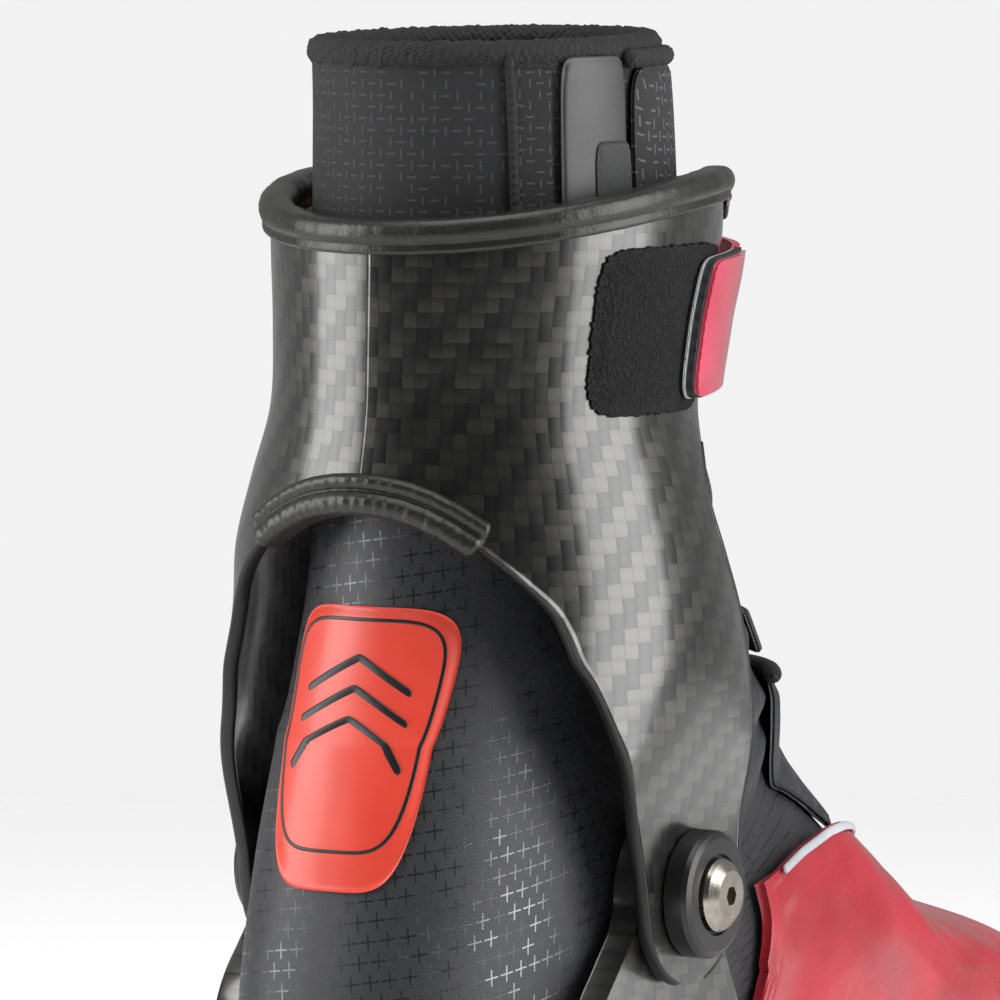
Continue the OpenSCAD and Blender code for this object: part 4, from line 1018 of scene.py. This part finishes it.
def put(name: str, skin: Skin, finish: str, body: Body | None,
        replaces: Sequence[str] = (), bevel: float = 0.0, merge: bool = False
        ) -> bpy.types.Object:
    """Make a piece from a closed mesh.

    Args:
        name: The piece's name.
        skin: Its mesh in the boot's millimetres.
        finish: Its finish on the shelf.
        body: The body that it rides on; None leaves it on no body.
        replaces: The CAD nodes that it stands for.
        bevel: Width of the round on its sharp edges, in millimetres.
        merge: Join points that lie together, as at a pole.

    Returns:
        The piece.
    """
    mesh = bpy.data.meshes.new(name)
    mesh.from_pydata((skin.points + np.array([PIVOT_X, 0, 0])) * MM, [], skin.faces)
    cloth = mesh.uv_layers.new(name="cloth")
    cloth.data.foreach_set("uv", skin.corners.astype(np.float32).ravel())
    mesh.polygons.foreach_set("use_smooth", np.ones(len(mesh.polygons), bool))
    mesh.materials.append(Shelf.get(finish))
    piece = bpy.data.objects.new(name, mesh)
    bpy.context.scene.collection.objects.link(piece)
    if merge:
        weld = piece.modifiers.new("weld", "WELD")
        weld.merge_threshold = 0.02 * MM
    if bevel:
        soft = piece.modifiers.new("bevel", "BEVEL")
        soft.width, soft.segments, soft.limit_method = bevel * MM, 3, "ANGLE"
        soft.angle_limit = math.radians(40)
    if body is not None:
        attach(piece, body.value)
    if replaces:
        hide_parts(*replaces)
    LOG.info("%s: %d points", name, len(skin.points))
    return piece


def dress(**finishes: str) -> None:
    """Give CAD nodes that stay a finish each, as node=finish."""
    for node, finish in finishes.items():
        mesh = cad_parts[node].data
        mesh.materials.clear()
        mesh.materials.append(Shelf.get(finish))


# ---- the cuff ------------------------------------------------------------------------------


@dataclass
class Cuff:
    """The carbon cuff with its edge trims, loop pad and strap anchor."""

    seam_step: float = 0.45
    seam_fade: float = 16.0
    bead: float = 3.1
    pad: tuple[float, float] = (60.5, 109.0)
    pad_height: tuple[float, float] = (194.5, 228.0)
    pad_thick: float = 1.3

    def build(self) -> None:
        """Build and dress every piece."""
        self.build_shell()
        self.build_trim("rim_trim_bead", 1, 7.27, "rim_trim", self.rim_profile())
        self.build_trim("arch_trim_bead", 0, 2.85, "arch_trim", self.arch_profile())
        self.build_arm_edges()
        self.build_pad()
        dress(strap_anchor="webbing", strap_rivets="steel")

    def build_shell(self) -> None:
        """The sheet: both faces of the ribbon between arch and rim, with a laminate step behind."""
        half = np.concatenate([[0.012], np.linspace(0.06, 21, 150)])
        s = np.concatenate([-half[::-1], [0.0], half])
        f = np.linspace(0, 1, 61)
        ss, ff = grid(s, f)
        u, z = CUFF_FORM.place(ss, ff)
        step = np.where(ss > 0.005, self.seam_step * np.exp(-np.abs(u) / self.seam_fade), 0)
        step = step * smooth(0, 0.05, ff) * smooth(0, 0.05, 1 - ff)
        top = CUFF_FORM.point(u, z, step)
        under = CUFF_FORM.point(u, z, -CUFF_FORM.WALL)
        flat = np.stack([u * 0.85, z], -1)
        skin = patch_skin(top, under, flat)
        put("cuff_carbon", skin, "carbon", Body.CUFF, ["cuff_shell"], 0.0, True)
        way = np.linspace(0.06, 0.97, 80)
        here = CUFF_FORM.ribbon(0.0, way, 0.1)
        rings = cord_rings(here, CUFF_FORM.ribbon(0.0, way, 1.1) - here, 0.32, 10)
        put("laminate_seam", tube_skin(rings), "edge", Body.CUFF)

    def rim_profile(self) -> Array:
        """Section of the rim's trim: distances out of the wall and beyond its edge."""
        t = CUFF_FORM.WALL
        return np.array([(0.4, 0.3), (0.35, -3.2), (1.3, -3.6), (1.75, -2.9), (1.55, -1.7),
                         (2.1, -0.9), (2.45, 0.6), (1.9, 2.3), (0.5, self.bead + 0.1),
                         (-t - 0.3, self.bead + 0.1), (-t - 1.8, 2.2), (-t - 2.3, 0.6),
                         (-t - 1.7, -1.4), (-t - 1.4, -3.4), (-t - 0.35, -3.4), (-t - 0.4, 0.3)])

    def arch_profile(self) -> Array:
        """Section of the arch's trim, which has two beads on its outer face."""
        t = CUFF_FORM.WALL
        return np.array([(0.4, 0.3), (0.35, -4.4), (1.2, -4.9), (2.2, -4.3), (2.5, -3.2),
                         (1.9, -2.1), (1.45, -1.5), (2.1, -0.9), (2.7, 0.5), (2.2, 2.2),
                         (0.8, self.bead), (-t - 0.3, self.bead), (-t - 1.6, 2.0),
                         (-t - 1.8, 0.3), (-t - 1.4, -3.2), (-t - 0.35, -3.4), (-t - 0.4, 0.3)])

    def build_trim(self, name: str, f: int, reach: float, node: str, section: Array) -> None:
        """Carry a section along an edge of the cuff."""
        loop = Spline(np.vstack([section, section[:1]])).at(np.linspace(0, len(section), 65)[:-1])
        s = np.linspace(-reach, reach, 220)
        place, out, away = CUFF_FORM.edge(s, f)
        wave = 0.06 * ripple(s * 9, s * 3 + f)[:, None]
        rings = (place[:, None] + (loop[:, 0] * (1 + wave))[..., None] * out[:, None]
                 + (loop[:, 1] + wave)[..., None] * away[:, None])
        put(name, tube_skin(with_round_ends(rings, 1.4)), "trim", Body.CUFF, [node])

    def build_arm_edges(self) -> None:
        """A dark seal along the cut edge of each arm, from the arch trim down to the arm's foot."""
        for way, side in ((1, "outer"), (-1, "inner")):
            for f, first, name in ((0, 2.95, "rear"), (1, 10.4, "front")):
                s = way * np.linspace(first, 19.8, 160)
                place, out, away = CUFF_FORM.edge(s, f)
                middle = place - out * CUFF_FORM.WALL / 2 + away * 0.2
                rings = cord_rings(middle, out, 0.5, 12, 3.1)
                put(f"arm_edge_{side}_{name}", tube_skin(rings), "edge", Body.CUFF)

    def build_pad(self) -> None:
        """The loop pad: a rounded patch whose face and outline are uneven like pile."""
        a, b = grid(np.linspace(-1, 1, 150), np.linspace(-1, 1, 110))
        p, q = rounded(a, b, 7)
        rim = smooth(0.8, 1.0, np.maximum(np.abs(a), np.abs(b)))
        wob = ripple(a * 41, b * 37, 2)
        u = mix(*self.pad, (p + 1) / 2) + rim * wob * 0.45
        z = mix(*self.pad_height, (q + 1) / 2) + rim * ripple(a * 53, b * 29, 1) * 0.35
        fluff = 0.22 * ripple(a * 97, b * 83, 3) + 0.12 * ripple(a * 190, b * 170, 5)
        top = CUFF_FORM.point(u, z, 0.3 + (self.pad_thick + fluff) * (1 - 0.75 * rim))
        put("loop_pad_pile", patch_skin(top, CUFF_FORM.point(u, z, 0.1)), "loop",
            Body.CUFF, ["loop_pad"])


# ---- the strap -----------------------------------------------------------------------------


@dataclass
class Strap:
    """The cuff strap: band, free end with its hook layer, and glossy face."""

    middle: float = 211.0
    width: float = 29.0
    tip: float = 93.0
    fold: float = 129.0
    anchor: float = 244.0
    core_off: float = 2.7
    face_off: float = 4.35

    def build(self) -> None:
        """Build every piece."""
        self.piece("strap_web", (self.fold, self.anchor), self.core_off, 1.55, "band", "red_strap",
                   Body.STRAP, ["strap_band"], 40, 260, 0.18)
        self.piece("strap_corner_print", (self.fold + 1, self.fold + 14), self.face_off + 0.02,
                   0.4, "print", "grey_print", Body.STRAP, ["strap_corner"], 8, 40, 0, (-0.94, -0.3))
        self.piece("strap_core", (self.tip + 0.3, self.fold - 2.2), self.core_off, 1.5, "tape",
                   "webbing", Body.STRAP_END, ["strap_tip"], 9, 120, 0)
        self.piece("strap_clear_edge", (self.tip - 0.5, self.fold - 6), self.core_off - 0.28, 0.3,
                   "clear", "grey_print", Body.STRAP_END, [], 8, 90, 0, (-1.0, 1.0))
        self.piece("strap_gloss_face", (self.tip + 1.3, self.fold - 3.9), self.face_off, 0.72,
                   "gloss", "red_gloss", Body.STRAP_END, ["strap_face"], 12, 130, 0.3, (-0.97, 0.97))
        self.piece("strap_hook", (self.tip - 0.3, self.fold - 8), 1.65, 0.95, "hook", "hook_pile",
                   Body.STRAP_END, ["hook_pad"], 7, 130, 0, (-0.97, 0.97), 0.28)

    def piece(self, name: str, span: tuple[float, float], off: float, thick: float, finish: str,
              slot: str, body: Body, nodes: Sequence[str], corner: float, count: int,
              crown: float, height: tuple[float, float] = (-1, 1), fluff: float = 0.0) -> None:
        """One layer of the strap: a band between two angles that follows the cuff.

        Args:
            name: The piece's name.
            span: First and last angle.
            off: Room under the layer.
            thick: Its thickness.
            finish: Its finish.
            slot: Not used.
            body: The body that it rides on.
            nodes: The CAD nodes that it stands for.
            corner: Exponent of its outline.
            count: Points along it.
            crown: How far its middle stands above its edges.
            height: Its lower and upper edge, where 1 is half the strap's width.
            fluff: Unevenness of its edges, for pile.
        """
        a, b = grid(np.linspace(-1, 1, count), np.linspace(-1, 1, 44))
        p, q = rounded(a, b, corner)
        rim = smooth(0.7, 1, np.maximum(np.abs(a), np.abs(b)))
        u = mix(*span, (p + 1) / 2) + fluff * rim * ripple(a * 60, b * 50, 2)
        lean = np.clip((u - self.tip) / 90, 0, 1)
        z = (self.middle + 5 * lean
             + (self.width / 2 - 1.5 * lean) * mix(height[0], height[1], (q + 1) / 2)
             + fluff * rim * ripple(a * 70, b * 31, 4))
        top = off + thick + crown * (1 - np.abs(q) ** 3) * (1 - np.abs(p) ** 12)
        skin = patch_skin(CUFF_FORM.point(u, z, top), CUFF_FORM.point(u, z, off + fluff * 0.2))
        put(name, skin, finish, body, nodes, 0.0 if fluff else min(0.3, thick * 0.4))


# ---- the bootie ----------------------------------------------------------------------------


@dataclass
class Bootie:
    """The soft padded bootie and its collar, with everything sewn to them."""

    wall: float = 4.0
    badge_keys: tuple[float, float] = (80.4, 117.0)
    badge_half: float = 31.0
    badge_taper: float = 0.66
    badge_corner: float = 4.5
    badge_inset: float = 0.86
    fold_low: float = 153.0
    fold_high: float = 202.0

    def build(self) -> None:
        """Build and dress every piece."""
        self.build_body()
        self.build_binding()
        self.build_collar_pieces()
        self.build_badge()
        self.build_instep()
        self.build_inside()

    def build_body(self) -> None:
        """Bootie and collar in one padded skin."""
        form = BOOTIE
        keys = np.concatenate([np.linspace(-form.FORE + 1, 0, 60), np.linspace(1.5, 90, 70),
                               np.linspace(91.5, form.TOP, 84)])
        w = np.linspace(0, 360, 181)
        k, ww = grid(keys, w)
        ankle = smooth(40, 85, k) * smooth(150, 110, k)
        front = smooth(-0.2, 0.9, np.cos(np.radians(ww)))
        folds = -0.9 * ankle * front * (1 + np.sin(k * 0.42 + np.sin(np.radians(2 * ww))))
        soft = -0.22 * (1 + ripple(k * 0.11, ww * 0.045, 1)) * smooth(60, 100, k)
        outer = form.point(k, ww, folds + soft)
        inner = form.point(np.where(k < -90, k + 2.5, k), ww, -self.wall + 0 * k)
        rings = np.concatenate([outer, inner[::-1]])
        uv = cloth_map(outer)
        uv[..., 1] -= uv[-1:, :, 1]
        skin = tube_skin(rings[:, :-1], np.concatenate([uv, uv[::-1]]))
        piece = put("bootie_softshell", skin, "softshell", None,
                    ["bootie_vamp", "bootie_quarter", "liner_collar"])
        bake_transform(piece)

    def build_binding(self) -> None:
        """The collar's rolled binding: a flat loop round the top edge, fuzzy like brushed knit."""
        w = np.linspace(0, 360, 361)[:-1]
        turn = np.linspace(0, 2 * math.pi, 25)[:-1]
        top = BOOTIE.point(np.full_like(w, BOOTIE.TOP), w, -self.wall / 2)
        out = BOOTIE.point(np.full_like(w, BOOTIE.TOP), w, -self.wall / 2 + 1) - top
        ww, tt = grid(w, turn)
        fuzz = 0.28 * ripple(ww * 0.9, tt * 5, 2) + 0.16 * ripple(ww * 2.7, tt * 9, 4)
        roll = 0.35 * np.sin(np.radians(ww) * 31) * 0.5
        across = (2.75 + fuzz) * np.cos(tt)
        up = (2.9 + fuzz + roll * 0.4) * np.sin(tt) + 0.5 + 0.7 * np.cos(np.radians(ww))
        rings = (top[:, None] + across[..., None] * out[:, None]
                 + up[..., None] * np.array([0, 0, 1.0]))
        put("collar_binding_knit", loop_skin(rings), "binding", Body.CUFF,
            ["collar_binding"])

    def build_collar_pieces(self) -> None:
        """Piping, dark strip, smooth flap, ribbed webbing and the front panel."""
        f, top = BOOTIE, BOOTIE.TOP
        rings = f.cord([[top - 1, -138], [208, -137], [176, -136]], 0.55, 1.0, 60)
        put("collar_piping_cord", tube_skin(rings), "binding", Body.CUFF,
            ["collar_piping"])
        strip = f.patch((178, top - 2.5), (-136, -123.2), 0.05, 0.35, (60, 12), 40)
        put("collar_strip_cloth", strip, "strip", Body.CUFF)
        put("collar_flap_sheet", f.patch((174, top - 0.5), (-121.5, -96), 0.75, 1.0, (90, 40), 9,
                                         0.15), "smooth", Body.CUFF,
            ["collar_flap"])
        put("flap_rib_webbing", f.patch((174, 209), (-110, -95.5), 1.95, 0.6, (40, 20), 8),
            "webbing", Body.CUFF, ["flap_webbing"])
        panel = f.patch((152, top - 2.2), (-92, 47), 0.75, 1.6, (60, 110), 14, 0.7)
        piece = put("front_panel_cloth", panel, "panel", Body.CUFF, ["front_panel"])
        w = np.linspace(-93, 48, 140)
        here = f.point(np.full_like(w, top - 1.2), w, 1.3)
        out = f.point(np.full_like(w, top - 1.2), w, 2.3) - here
        rings = cord_rings(here, out, 1.9, 18)
        fuzz = 1 + 0.13 * ripple(np.arange(len(rings))[:, None] * 1.7, np.arange(18)[None] * 2.1, 3)
        middle = rings.mean(1, keepdims=True)
        put("panel_binding_knit", tube_skin(middle + (rings - middle) * fuzz[..., None]), "binding",
            Body.CUFF, ["panel_binding"])

    def badge_spot(self, p: Array, q: Array) -> tuple[Array, Array]:
        """Key and angle at p up and q across the badge (-1 to 1), which narrows downwards."""
        f = (p + 1) / 2
        width = mix(self.badge_taper, 1, np.clip(f, 0, 1) ** 0.8)
        return mix(*self.badge_keys, f), 180 + self.badge_half * q * width

    def build_badge(self) -> None:
        """Red film badge with a black inset line and three plain chevrons."""
        a, b = grid(np.linspace(-1, 1, 70), np.linspace(-1, 1, 60))
        k, w = self.badge_spot(*rounded(a, b, self.badge_corner))
        edge = smooth(self.badge_inset, 1.0, np.maximum(np.abs(a), np.abs(b)))
        skin = patch_skin(BOOTIE.point(k, w, 1.3 - 0.75 * edge), BOOTIE.point(k, w, 0.3))
        put("heel_badge_film", skin, "badge", Body.BOOT, ["heel_badge"])
        ring = np.linspace(0, 2 * math.pi, 161)[:-1]
        c, s = np.cos(ring), np.sin(ring)
        e = self.badge_corner
        reach = (np.abs(c) ** e + np.abs(s) ** e) ** (-1 / e) * self.badge_inset
        key, angle = self.badge_spot(c * reach, s * reach)
        here = BOOTIE.point(key, angle, 1.3)
        out = BOOTIE.point(key, angle, 2.3) - here
        closed_t = unit(np.roll(here, -1, 0) - np.roll(here, 1, 0))
        side = unit(np.cross(closed_t, out))
        turn = np.linspace(0, 2 * math.pi, 9)[:-1]
        rings = (here[:, None] + 0.14 * np.cos(turn)[None, :, None] * unit(out)[:, None]
                 + 0.42 * np.sin(turn)[None, :, None] * side[:, None])
        put("badge_line", loop_skin(rings), "ink", Body.BOOT)
        marks = []
        for low in (88.5, 94.5, 100.5):
            path = [[low, 165.5], [low + 6.2, 180], [low, 194.5]]
            k, w = np.array(path).T
            t = np.linspace(0, 2, 41)
            kk, aa = np.interp(t, [0, 1, 2], k), np.interp(t, [0, 1, 2], w)
            here = BOOTIE.point(kk, aa, 1.28)
            marks.append(tube_skin(cord_rings(here, BOOTIE.point(kk, aa, 2.28) - here, 1.15, 10,
                                              0.13)))
        put("badge_chevrons", joined(marks), "ink", Body.BOOT)

    def build_instep(self) -> None:
        """Instep flap with its bound edge and pull loop."""
        f = BOOTIE
        put("instep_flap_cloth", f.patch((16, 93.5), (-46, 37), 0.8, 1.7, (70, 60), 10, 1.1),
            "softshell", Body.BOOT, ["instep_flap"])
        w = np.linspace(-45.5, 36.5, 90)
        here = f.point(np.full_like(w, 93.8), w, 2.3)
        rings = cord_rings(here, f.point(np.full_like(w, 93.8), w, 3.3) - here, 2.0, 14)
        put("flap_edge_binding", tube_skin(rings), "binding", Body.BOOT,
            ["flap_binding"])
        put("pull_loop_web", f.patch((97.5, 108), (-36, -9), 0.8, 1.5, (16, 20), 12, 0.5),
            "webbing", Body.BOOT, ["pull_loop"])

    def build_inside(self) -> None:
        """Tongue and footbed, seen down the collar."""
        put("tongue_pad", BOOTIE.patch((-62, 84), (-24, 24), -7.3, 2.5, (60, 24), 8, 0.4), "lining",
            Body.BOOT, ["foot_tongue"], 0.5)
        x, t = grid(np.linspace(-47, 190, 70), np.linspace(-1, 1, 25))
        k = np.where(x > BOOTIE.FX, BOOTIE.FX - x,
                     np.degrees(np.arctan2(BOOTIE.FX - x, BOOTIE.FZ - 24)))
        s = BOOTIE.sections.at(k)
        half = (s[..., 1] - s[..., 0]) / 2
        side = (s[..., 2] - self.wall) * (1 - (1 - 9 / half) ** s[..., 5]) ** (1 / s[..., 5]) - 4
        drop = np.where(x > BOOTIE.FX, 1, np.cos(np.radians(np.clip(k, 0, 89))))
        z = BOOTIE.FZ - s[..., 1] * drop + self.wall
        cup = 0.5 * np.abs(t) ** 4
        top = np.stack([x, s[..., 3] + t * side, z + 8.3 + cup], -1)
        under = np.stack([x, s[..., 3] + t * side, z + 5.35], -1)
        put("footbed_cloth", patch_skin(top, under), "foam", Body.BOOT,
            ["footbed"], 0.4)
        dress(lasting_board="board", heel_counter="board", lace="lace", lace_loops="webbing")


# ---- the foot cover ------------------------------------------------------------------------


@dataclass
class FootCover:
    """The red stretch cover over the laces, its piping, the toe cap and the zip."""

    off: float = 2.9
    thick: float = 1.0

    def __post_init__(self) -> None:
        """Set up the cover's rear and lower edge, as angle and key."""
        f = BOOTIE.FORE
        inner = [(-14, 0), (-12.5, 14), (-6, 28), (6, 37), (18, 44), (30, 51), (42, 59), (51, 66),
                 (57, 74)]
        outer = [(-f * 0.72, 0), (-f * 0.72, 32), (-f * 0.69, 62), (-f * 0.62, 88),
                 (-f * 0.46, 106), (-f * 0.2, 114), (8, 114), (32, 106), (47, 93)]
        self.inner = Spline([(w, k) for k, w in inner], mirrored=True)
        self.outer = Spline([(w, k) for k, w in outer], mirrored=True)

    def point(self, s: Array, f: Array, off: Array | float) -> Array:
        """Points of the cover, s along its edges and f from the rear edge to the lower one."""
        s, f = np.broadcast_arrays(np.asarray(s, float), np.asarray(f, float))
        a, b = self.inner.at(np.abs(s)), self.outer.at(np.abs(s))
        low = np.minimum(b[..., 0], BOOTIE.rand(b[..., 1]) - 5)
        w, k = mix(a[..., 0], low, f), mix(a[..., 1], b[..., 1], f)
        return BOOTIE.point(k, np.where(s < 0, -w, w), off)

    def build(self) -> None:
        """Build and dress every piece."""
        s, f = grid(np.linspace(-8, 8, 221), np.linspace(0, 1, 71))
        rim = np.maximum(smooth(0.94, 1, f), smooth(7.7, 8, np.abs(s)))
        crease = 0.25 * ripple(s * 3.1, f * 9, 2) * smooth(0, 0.2, f) * (1 - rim)
        skin = patch_skin(self.point(s, f, self.off + self.thick + crease - 0.35 * rim),
                          self.point(s, f, self.off + 0 * s - 1.4 * rim))
        put("lace_cover_cloth", skin, "cover", Body.BOOT, ["lace_cover"], 0.3)
        cords = []
        for way in (-1, 1):
            t = way * np.linspace(1.2, 7.6, 90)
            here = self.point(t, 0.03, self.off + self.thick + 0.8)
            out = self.point(t, 0.03, self.off + self.thick + 1.8) - here
            cords.append(tube_skin(cord_rings(here, out, 1.0, 12, 0.7)))
        put("side_piping_cord", joined(cords), "reflective", Body.BOOT,
            ["side_piping"])
        self.build_toe()
        dress(zip_chain="zip", zip_slider="enamel", zip_pull="gloss")

    def build_toe(self) -> None:
        """The toe cap: a coated patch over the front, drawn in at its front like the bootie."""
        f = BOOTIE.FORE
        keys = np.concatenate([np.linspace(-f + 0.4, -f + 12, 30),
                               np.linspace(-f + 13, -f * 0.74, 20)])
        limit = np.minimum(117, BOOTIE.rand(keys) - 4)
        k, t = grid(keys, np.linspace(-1, 1, 81))
        rim = smooth(0.93, 1, np.abs(t))
        skin = patch_skin(BOOTIE.point(k, t * limit[:, None], 2.8 - 1.2 * rim),
                          BOOTIE.point(k, t * limit[:, None], 0.5 + 0 * t))
        put("toe_cap_coat", skin, "toe", Body.BOOT, ["toe_cap"], 0.5)


# ---- chassis, sole and pivots --------------------------------------------------------------


@dataclass
class Chassis:
    """The carbon chassis round the heel and under the foot, with the ears that carry the pivots."""

    gap: float = 1.0
    wall: float = 2.6
    ear_in: float = 38.6
    ear_thick: float = 6.0
    ear_r: float = 16.0

    def build(self) -> None:
        """The shell round the bootie, joined with an ear on each side."""
        keys = np.concatenate([np.linspace(-BOOTIE.FORE + 1, -2, 60), np.linspace(0, 67, 70)])
        rand = BOOTIE.rand(keys)
        k, t = grid(keys, np.linspace(0, 1, 111))
        w = mix(rand[:, None], 360 - rand[:, None], t)
        shell = patch_skin(BOOTIE.point(k, w, self.gap + self.wall), BOOTIE.point(k, w, self.gap))
        ear_out = self.ear_in + self.ear_thick
        ears = [prism_skin(self.ear_outline(), way * self.ear_in, way * ear_out)
                for way in (-1, 1)]
        put("chassis_carbon", joined([shell, *ears]), "carbon", Body.BOOT,
            ["carbon_chassis"], 0.9)

    def ear_outline(self) -> Array:
        """The ear seen from the side: a round top that flares into the shell."""
        z, r = PIVOT_Z, self.ear_r
        turn = np.radians(np.linspace(-4, 184, 60))
        arc_part = np.stack([r * np.cos(turn), z + r * np.sin(turn)], -1)
        left = Spline([(-r - 0.1, z - 2), (-18.5, z - 7), (-24, z - 13), (-30.5, z - 20),
                       (-34, z - 28), (-34, z - 42)]).at(np.linspace(0, 5, 40))
        right = Spline([(29, z - 42), (26.5, z - 28), (21, z - 17), (r + 1, z - 7),
                        (r + 0.1, z - 2)]).at(np.linspace(0, 4, 40))
        return np.concatenate([arc_part, left, right])


@dataclass
class Sole:
    """The rubber soles and the toe bar, whose shapes the frame gives."""

    def build(self) -> None:
        """Dress the pieces."""
        dress(outsole_front="sole", outsole_rear="sole", toe_bar="steel")


@dataclass
class Pivots:
    """Bolts, washers, barrels and spacers of the two ankle pivots."""

    def build(self) -> None:
        """Dress the pieces."""
        dress(pivot_bolts="bolt", pivot_washers="nylon", pivot_barrels="steel",
              pivot_spacers="slip")


# ---- stage ---------------------------------------------------------------------------------


@dataclass
class Stage:
    """Floor, background, lamps and camera."""

    pale: Colour = (0.888, 0.888, 0.888)
    azimuth: float = -60.0
    elevation: float = 5.0
    distance: float = 1.6
    lens: float = 282.24
    target: tuple[float, float, float] = (-0.07113, -0.00229, 0.17453)

    def build(self) -> None:
        """Make everything round the object."""
        bpy.context.scene.view_settings.view_transform = "Standard"
        self.build_camera()
        self.build_floor()
        self.build_world()
        self.build_lamps()

    def build_camera(self) -> None:
        """A long lens behind and outside the boot, a little above it."""
        data = bpy.data.cameras.new("camera")
        data.lens, data.sensor_width = self.lens, 36
        data.clip_end = 50
        data.dof.use_dof = False
        camera = bpy.data.objects.new("camera", data)
        a, e = math.radians(self.azimuth), math.radians(self.elevation)
        back = np.array([math.sin(a) * math.cos(e), -math.cos(a) * math.cos(e), math.sin(e)])
        camera.location = np.array(self.target) + back * self.distance
        camera.rotation_euler = (math.pi / 2 - e, 0, a)
        bpy.context.scene.collection.objects.link(camera)
        bpy.context.scene.camera = camera

    def build_floor(self) -> None:
        """A pale floor that fades into the background at its rim."""
        r = 1.5
        mesh = bpy.data.meshes.new("floor")
        mesh.from_pydata([(-r, -r, 0), (r, -r, 0), (r, r, 0), (-r, r, 0)], [], [(0, 1, 2, 3)])
        b = Bench("pale_floor")
        length = b.node("ShaderNodeVectorMath", {"operation": "LENGTH"}, {0: b.place()}, "Value")
        tree = b.tree
        b.finish(Base_Color=b.colour(b.noise(60, 2), self.pale, (0.87, 0.87, 0.87)), Roughness=0.9)
        clear = tree.nodes.new("ShaderNodeBsdfTransparent")
        blend = tree.nodes.new("ShaderNodeMixShader")
        b.feed(blend.inputs[0], length.rise(0.35, 1.1))
        tree.links.new(b.shader.outputs[0], blend.inputs[1])
        tree.links.new(clear.outputs[0], blend.inputs[2])
        output = [n for n in tree.nodes if n.type == "OUTPUT_MATERIAL"][0]
        tree.links.new(blend.outputs[0], output.inputs[0])
        mesh.materials.append(b.material)
        floor = bpy.data.objects.new("floor", mesh)
        bpy.context.scene.collection.objects.link(floor)

    def build_world(self) -> None:
        """A pale background, which also shows in gloss except towards the studio's dark side."""
        world = bpy.data.worlds.new("studio")
        bpy.context.scene.world = world
        world.use_nodes = True
        tree = world.node_tree
        tree.nodes.clear()
        make = tree.nodes.new
        path, coord = make("ShaderNodeLightPath"), make("ShaderNodeTexCoord")
        dot = make("ShaderNodeVectorMath")
        dot.operation = "DOT_PRODUCT"
        a = math.radians(self.azimuth + 4)
        tree.links.new(coord.outputs["Generated"], dot.inputs[0])
        dot.inputs[1].default_value = (math.sin(a), -math.cos(a), 0)
        dark = make("ShaderNodeMapRange")
        dark.interpolation_type = "SMOOTHSTEP"
        tree.links.new(dot.outputs["Value"], dark.inputs[0])
        for i, v in enumerate((-0.1, 0.55, 0.36, 0.04), 1):
            dark.inputs[i].default_value = v
        seen = make("ShaderNodeMath")
        seen.operation = "MAXIMUM"
        tree.links.new(path.outputs["Is Camera Ray"], seen.inputs[0])
        tree.links.new(path.outputs["Is Transmission Ray"], seen.inputs[1])
        shades = []
        for strength in (0.62, None, 1.0):
            shade = make("ShaderNodeBackground")
            shade.inputs["Color"].default_value = (*self.pale, 1)
            if strength is None:
                tree.links.new(dark.outputs[0], shade.inputs["Strength"])
            else:
                shade.inputs["Strength"].default_value = strength
            shades.append(shade)
        gloss, final = make("ShaderNodeMixShader"), make("ShaderNodeMixShader")
        tree.links.new(path.outputs["Is Glossy Ray"], gloss.inputs[0])
        tree.links.new(shades[0].outputs[0], gloss.inputs[1])
        tree.links.new(shades[1].outputs[0], gloss.inputs[2])
        tree.links.new(seen.outputs[0], final.inputs[0])
        tree.links.new(gloss.outputs[0], final.inputs[1])
        tree.links.new(shades[2].outputs[0], final.inputs[2])
        output = make("ShaderNodeOutputWorld")
        tree.links.new(final.outputs[0], output.inputs[0])

    def build_lamps(self) -> None:
        """Tall soft boxes left and right of the camera, and a wide one above."""
        self.soft_box("left_box", -142, 8, 1.3, (0.8, 1.7), 21)
        self.soft_box("right_box", 14, 10, 1.3, (0.9, 1.7), 24)
        self.soft_box("top_box", -60, 78, 1.5, (1.2, 1.2), 12)

    def soft_box(self, name: str, azimuth: float, elevation: float, distance: float,
                 size: tuple[float, float], power_w: float) -> None:
        """A rectangular lamp aimed at the boot.

        Args:
            name: Its name.
            azimuth: Its side, in the camera's terms.
            elevation: Its height, in degrees.
            distance: How far it stands.
            size: Its width and height.
            power_w: Its power in watts.
        """
        data = bpy.data.lights.new(name, "AREA")
        data.shape, data.size, data.size_y = "RECTANGLE", size[0], size[1]
        data.energy = power_w
        lamp = bpy.data.objects.new(name, data)
        a, e = math.radians(azimuth), math.radians(elevation)
        back = np.array([math.sin(a) * math.cos(e), -math.cos(a) * math.cos(e), math.sin(e)])
        lamp.location = np.array(self.target) + back * distance
        lamp.rotation_euler = (math.pi / 2 - e, 0, a)
        bpy.context.scene.collection.objects.link(lamp)


def main() -> None:
    """Build the boot from the sole up."""
    logging.basicConfig(level=logging.INFO, format="%(message)s")
    Stage().build()
    for part in (Sole(), Chassis(), Bootie(), FootCover(), Pivots(), Cuff(), Strap()):
        LOG.info("building %s", type(part).__name__)
        part.build()


if __name__ == "__main__":
    main()
